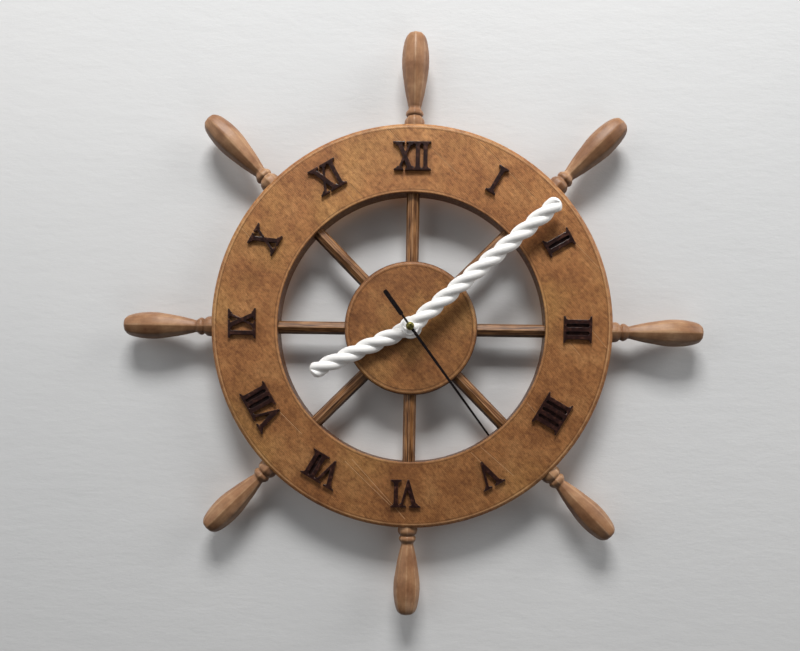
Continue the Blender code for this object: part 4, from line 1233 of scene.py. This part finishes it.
outline = [
    (0.0, battery_left + 0.0002), (0.0046, battery_left + 0.0002), (0.0048, battery_left),
    (battery_radius - sleeve_edge, battery_left),
    (battery_radius - 0.00015, battery_left + 0.00015),
    (battery_radius, battery_left + sleeve_edge), (battery_radius, button_shoulder - 0.0010),
    (battery_radius - 0.00015, button_shoulder - 0.00065),
    (battery_radius - sleeve_edge, button_shoulder - 0.0005), (0.0058, button_shoulder - 0.0005),
    (0.0056, button_shoulder - 0.0007), (0.0036, button_shoulder - 0.0007),
    (0.0034, button_shoulder), (button_radius, button_shoulder),
    (button_radius, battery_right - 0.0002), (button_radius - 0.0002, battery_right),
    (0.0, battery_right)]
battery = on_lathe("battery_cell", outline, 96)
lying = Matrix.Translation((0.0, battery_y, battery_z)) @ Matrix.Rotation(-math.pi / 2, 4, "Z")
battery.matrix_world = lying
settle(battery)
sleeve, shader = new_finish("battery_sleeve", (0.05, 0.055, 0.065), 0.3)
place = own_place(shader)
x, y, z = parts_of(place)
bare_radius = battery_radius - 0.0008
is_sleeve = maths("GREATER_THAN", length_of(y - battery_y, z - battery_z), bare_radius)
is_band = maths("GREATER_THAN", x, 0.0105)
smudge = clouds(place, 220.0, 4.0)
dark, copper, steel = (ramp(smudge, (0.3, low), (0.7, high)) for low, high in (
    ((0.030, 0.034, 0.042), (0.042, 0.048, 0.058)), ((0.50, 0.26, 0.10), (0.58, 0.32, 0.14)),
    ((0.52, 0.52, 0.50), (0.62, 0.62, 0.60))))
connect(mix(is_sleeve, steel, mix(is_band, dark, copper)), shader.inputs["Base Color"])
connect(maths("MULTIPLY_ADD", is_sleeve, -0.55, 1.0), shader.inputs["Metallic"])
connect(ramp(smudge, (0.3, 0.22), (0.7, 0.36)), shader.inputs["Roughness"])
bump(shader, smudge, 0.1, 0.0001)
wear(battery, sleeve)
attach(battery, "clock")
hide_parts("battery")

contact_half = 0.00325
contact_outer = 0.0265
contact_inner = 0.0261
contact_corner = 0.0008
plates = {}
for side, name in ((-1, "coiled_contact"), (1, "flat_contact")):
    ends = sorted((side * contact_inner, side * contact_outer))
    plates[name] = add_block(
        name, (ends[0], battery_y - contact_half, battery_z - contact_half),
        (ends[1], battery_y + contact_half, battery_z + contact_half))
    bevel_where(plates[name], lambda edge: runs(edge, "x", 0.0003), contact_corner, 4)
wire_radius = 0.00022
turns_of_coil = (
    (0.00275, -0.02590), (0.00225, -0.02550), (0.00175, -0.02510), (0.00128, -0.02472))
outline = [(0.0, -0.0262)]
for radius, x in turns_of_coil:
    for degrees in (-60.0, -20.0, 20.0, 60.0, 100.0):
        slope = math.radians(degrees)
        outline.append((radius + wire_radius * math.cos(slope), x + wire_radius * math.sin(slope)))
outline.append((0.0, outline[-1][1]))
coil_spring = on_lathe("coil_spring", outline, 64)
coil_spring.matrix_world = lying
settle(coil_spring)
cut_with(plates["coiled_contact"], [coil_spring], "UNION")
for name, node in (
    ("coiled_contact", "battery_spring_contact"), ("flat_contact", "battery_button_contact"),
):
    soften = plates[name]
    settle(soften)
    wear(soften, pressed_steel)
    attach(soften, "clock")
    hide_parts(node)

# Inside the movement: nylon wheels, steel stator, copper coil and circuit board, seen only when
# the clock is taken apart. Their shapes are plain, and they get the looks of their materials.
gear_plastic = plastic(
    "gear_plastic", (0.74, 0.74, 0.70), (0.82, 0.82, 0.78), 0.42, 1800.0, 0.00004)
rubber = plastic("rubber", (0.016, 0.016, 0.016), (0.026, 0.026, 0.025), 0.75, 1500.0, 0.00008)

winding, shader = new_finish("copper_winding", (0.66, 0.29, 0.13), 0.34, 1.0)
place = own_place(shader)
turns = maths("SINE", parts_of(place)[0] * (2 * math.pi / 0.00025))
mottled(
    shader, clouds(place, 300.0, 3.0), ((0.3, (0.56, 0.22, 0.09)), (0.7, (0.74, 0.36, 0.17))),
    (0.6, 0.00008), texture=turns)

board, shader = new_finish("board_laminate", (0.02, 0.12, 0.045), 0.4)
place = own_place(shader)
weave = from_node(shader.id_data, "TexVoronoi", {"Vector": place, "Scale": 420.0})
mottled(
    shader, clouds(place, 180.0, 3.0), ((0.3, (0.014, 0.10, 0.035)), (0.7, (0.030, 0.16, 0.060))),
    (0.2, 0.0001), texture=weave)

for finish, slot, nodes in (
    (gear_plastic, "gear_nylon", (
        "second_wheel", "intermediate_wheel", "rotor", "third_wheel", "centre_wheel",
        "minute_arbor", "motion_wheel", "hour_wheel")),
    (case_plastic, "case_black", ("front_case", "middle_plate")),
    (turned_brass, "brass", ("shaft_bush",)),
    (pressed_steel, "steel", ("stator",)),
    (rubber, "rubber_black", ("rubber_washer",)),
    (winding, "copper", ("coil",)),
    (board, "board_green", ("circuit_board",)),
):
    for node in nodes:
        frame["nodes"][node].material_slots[0].material = finish
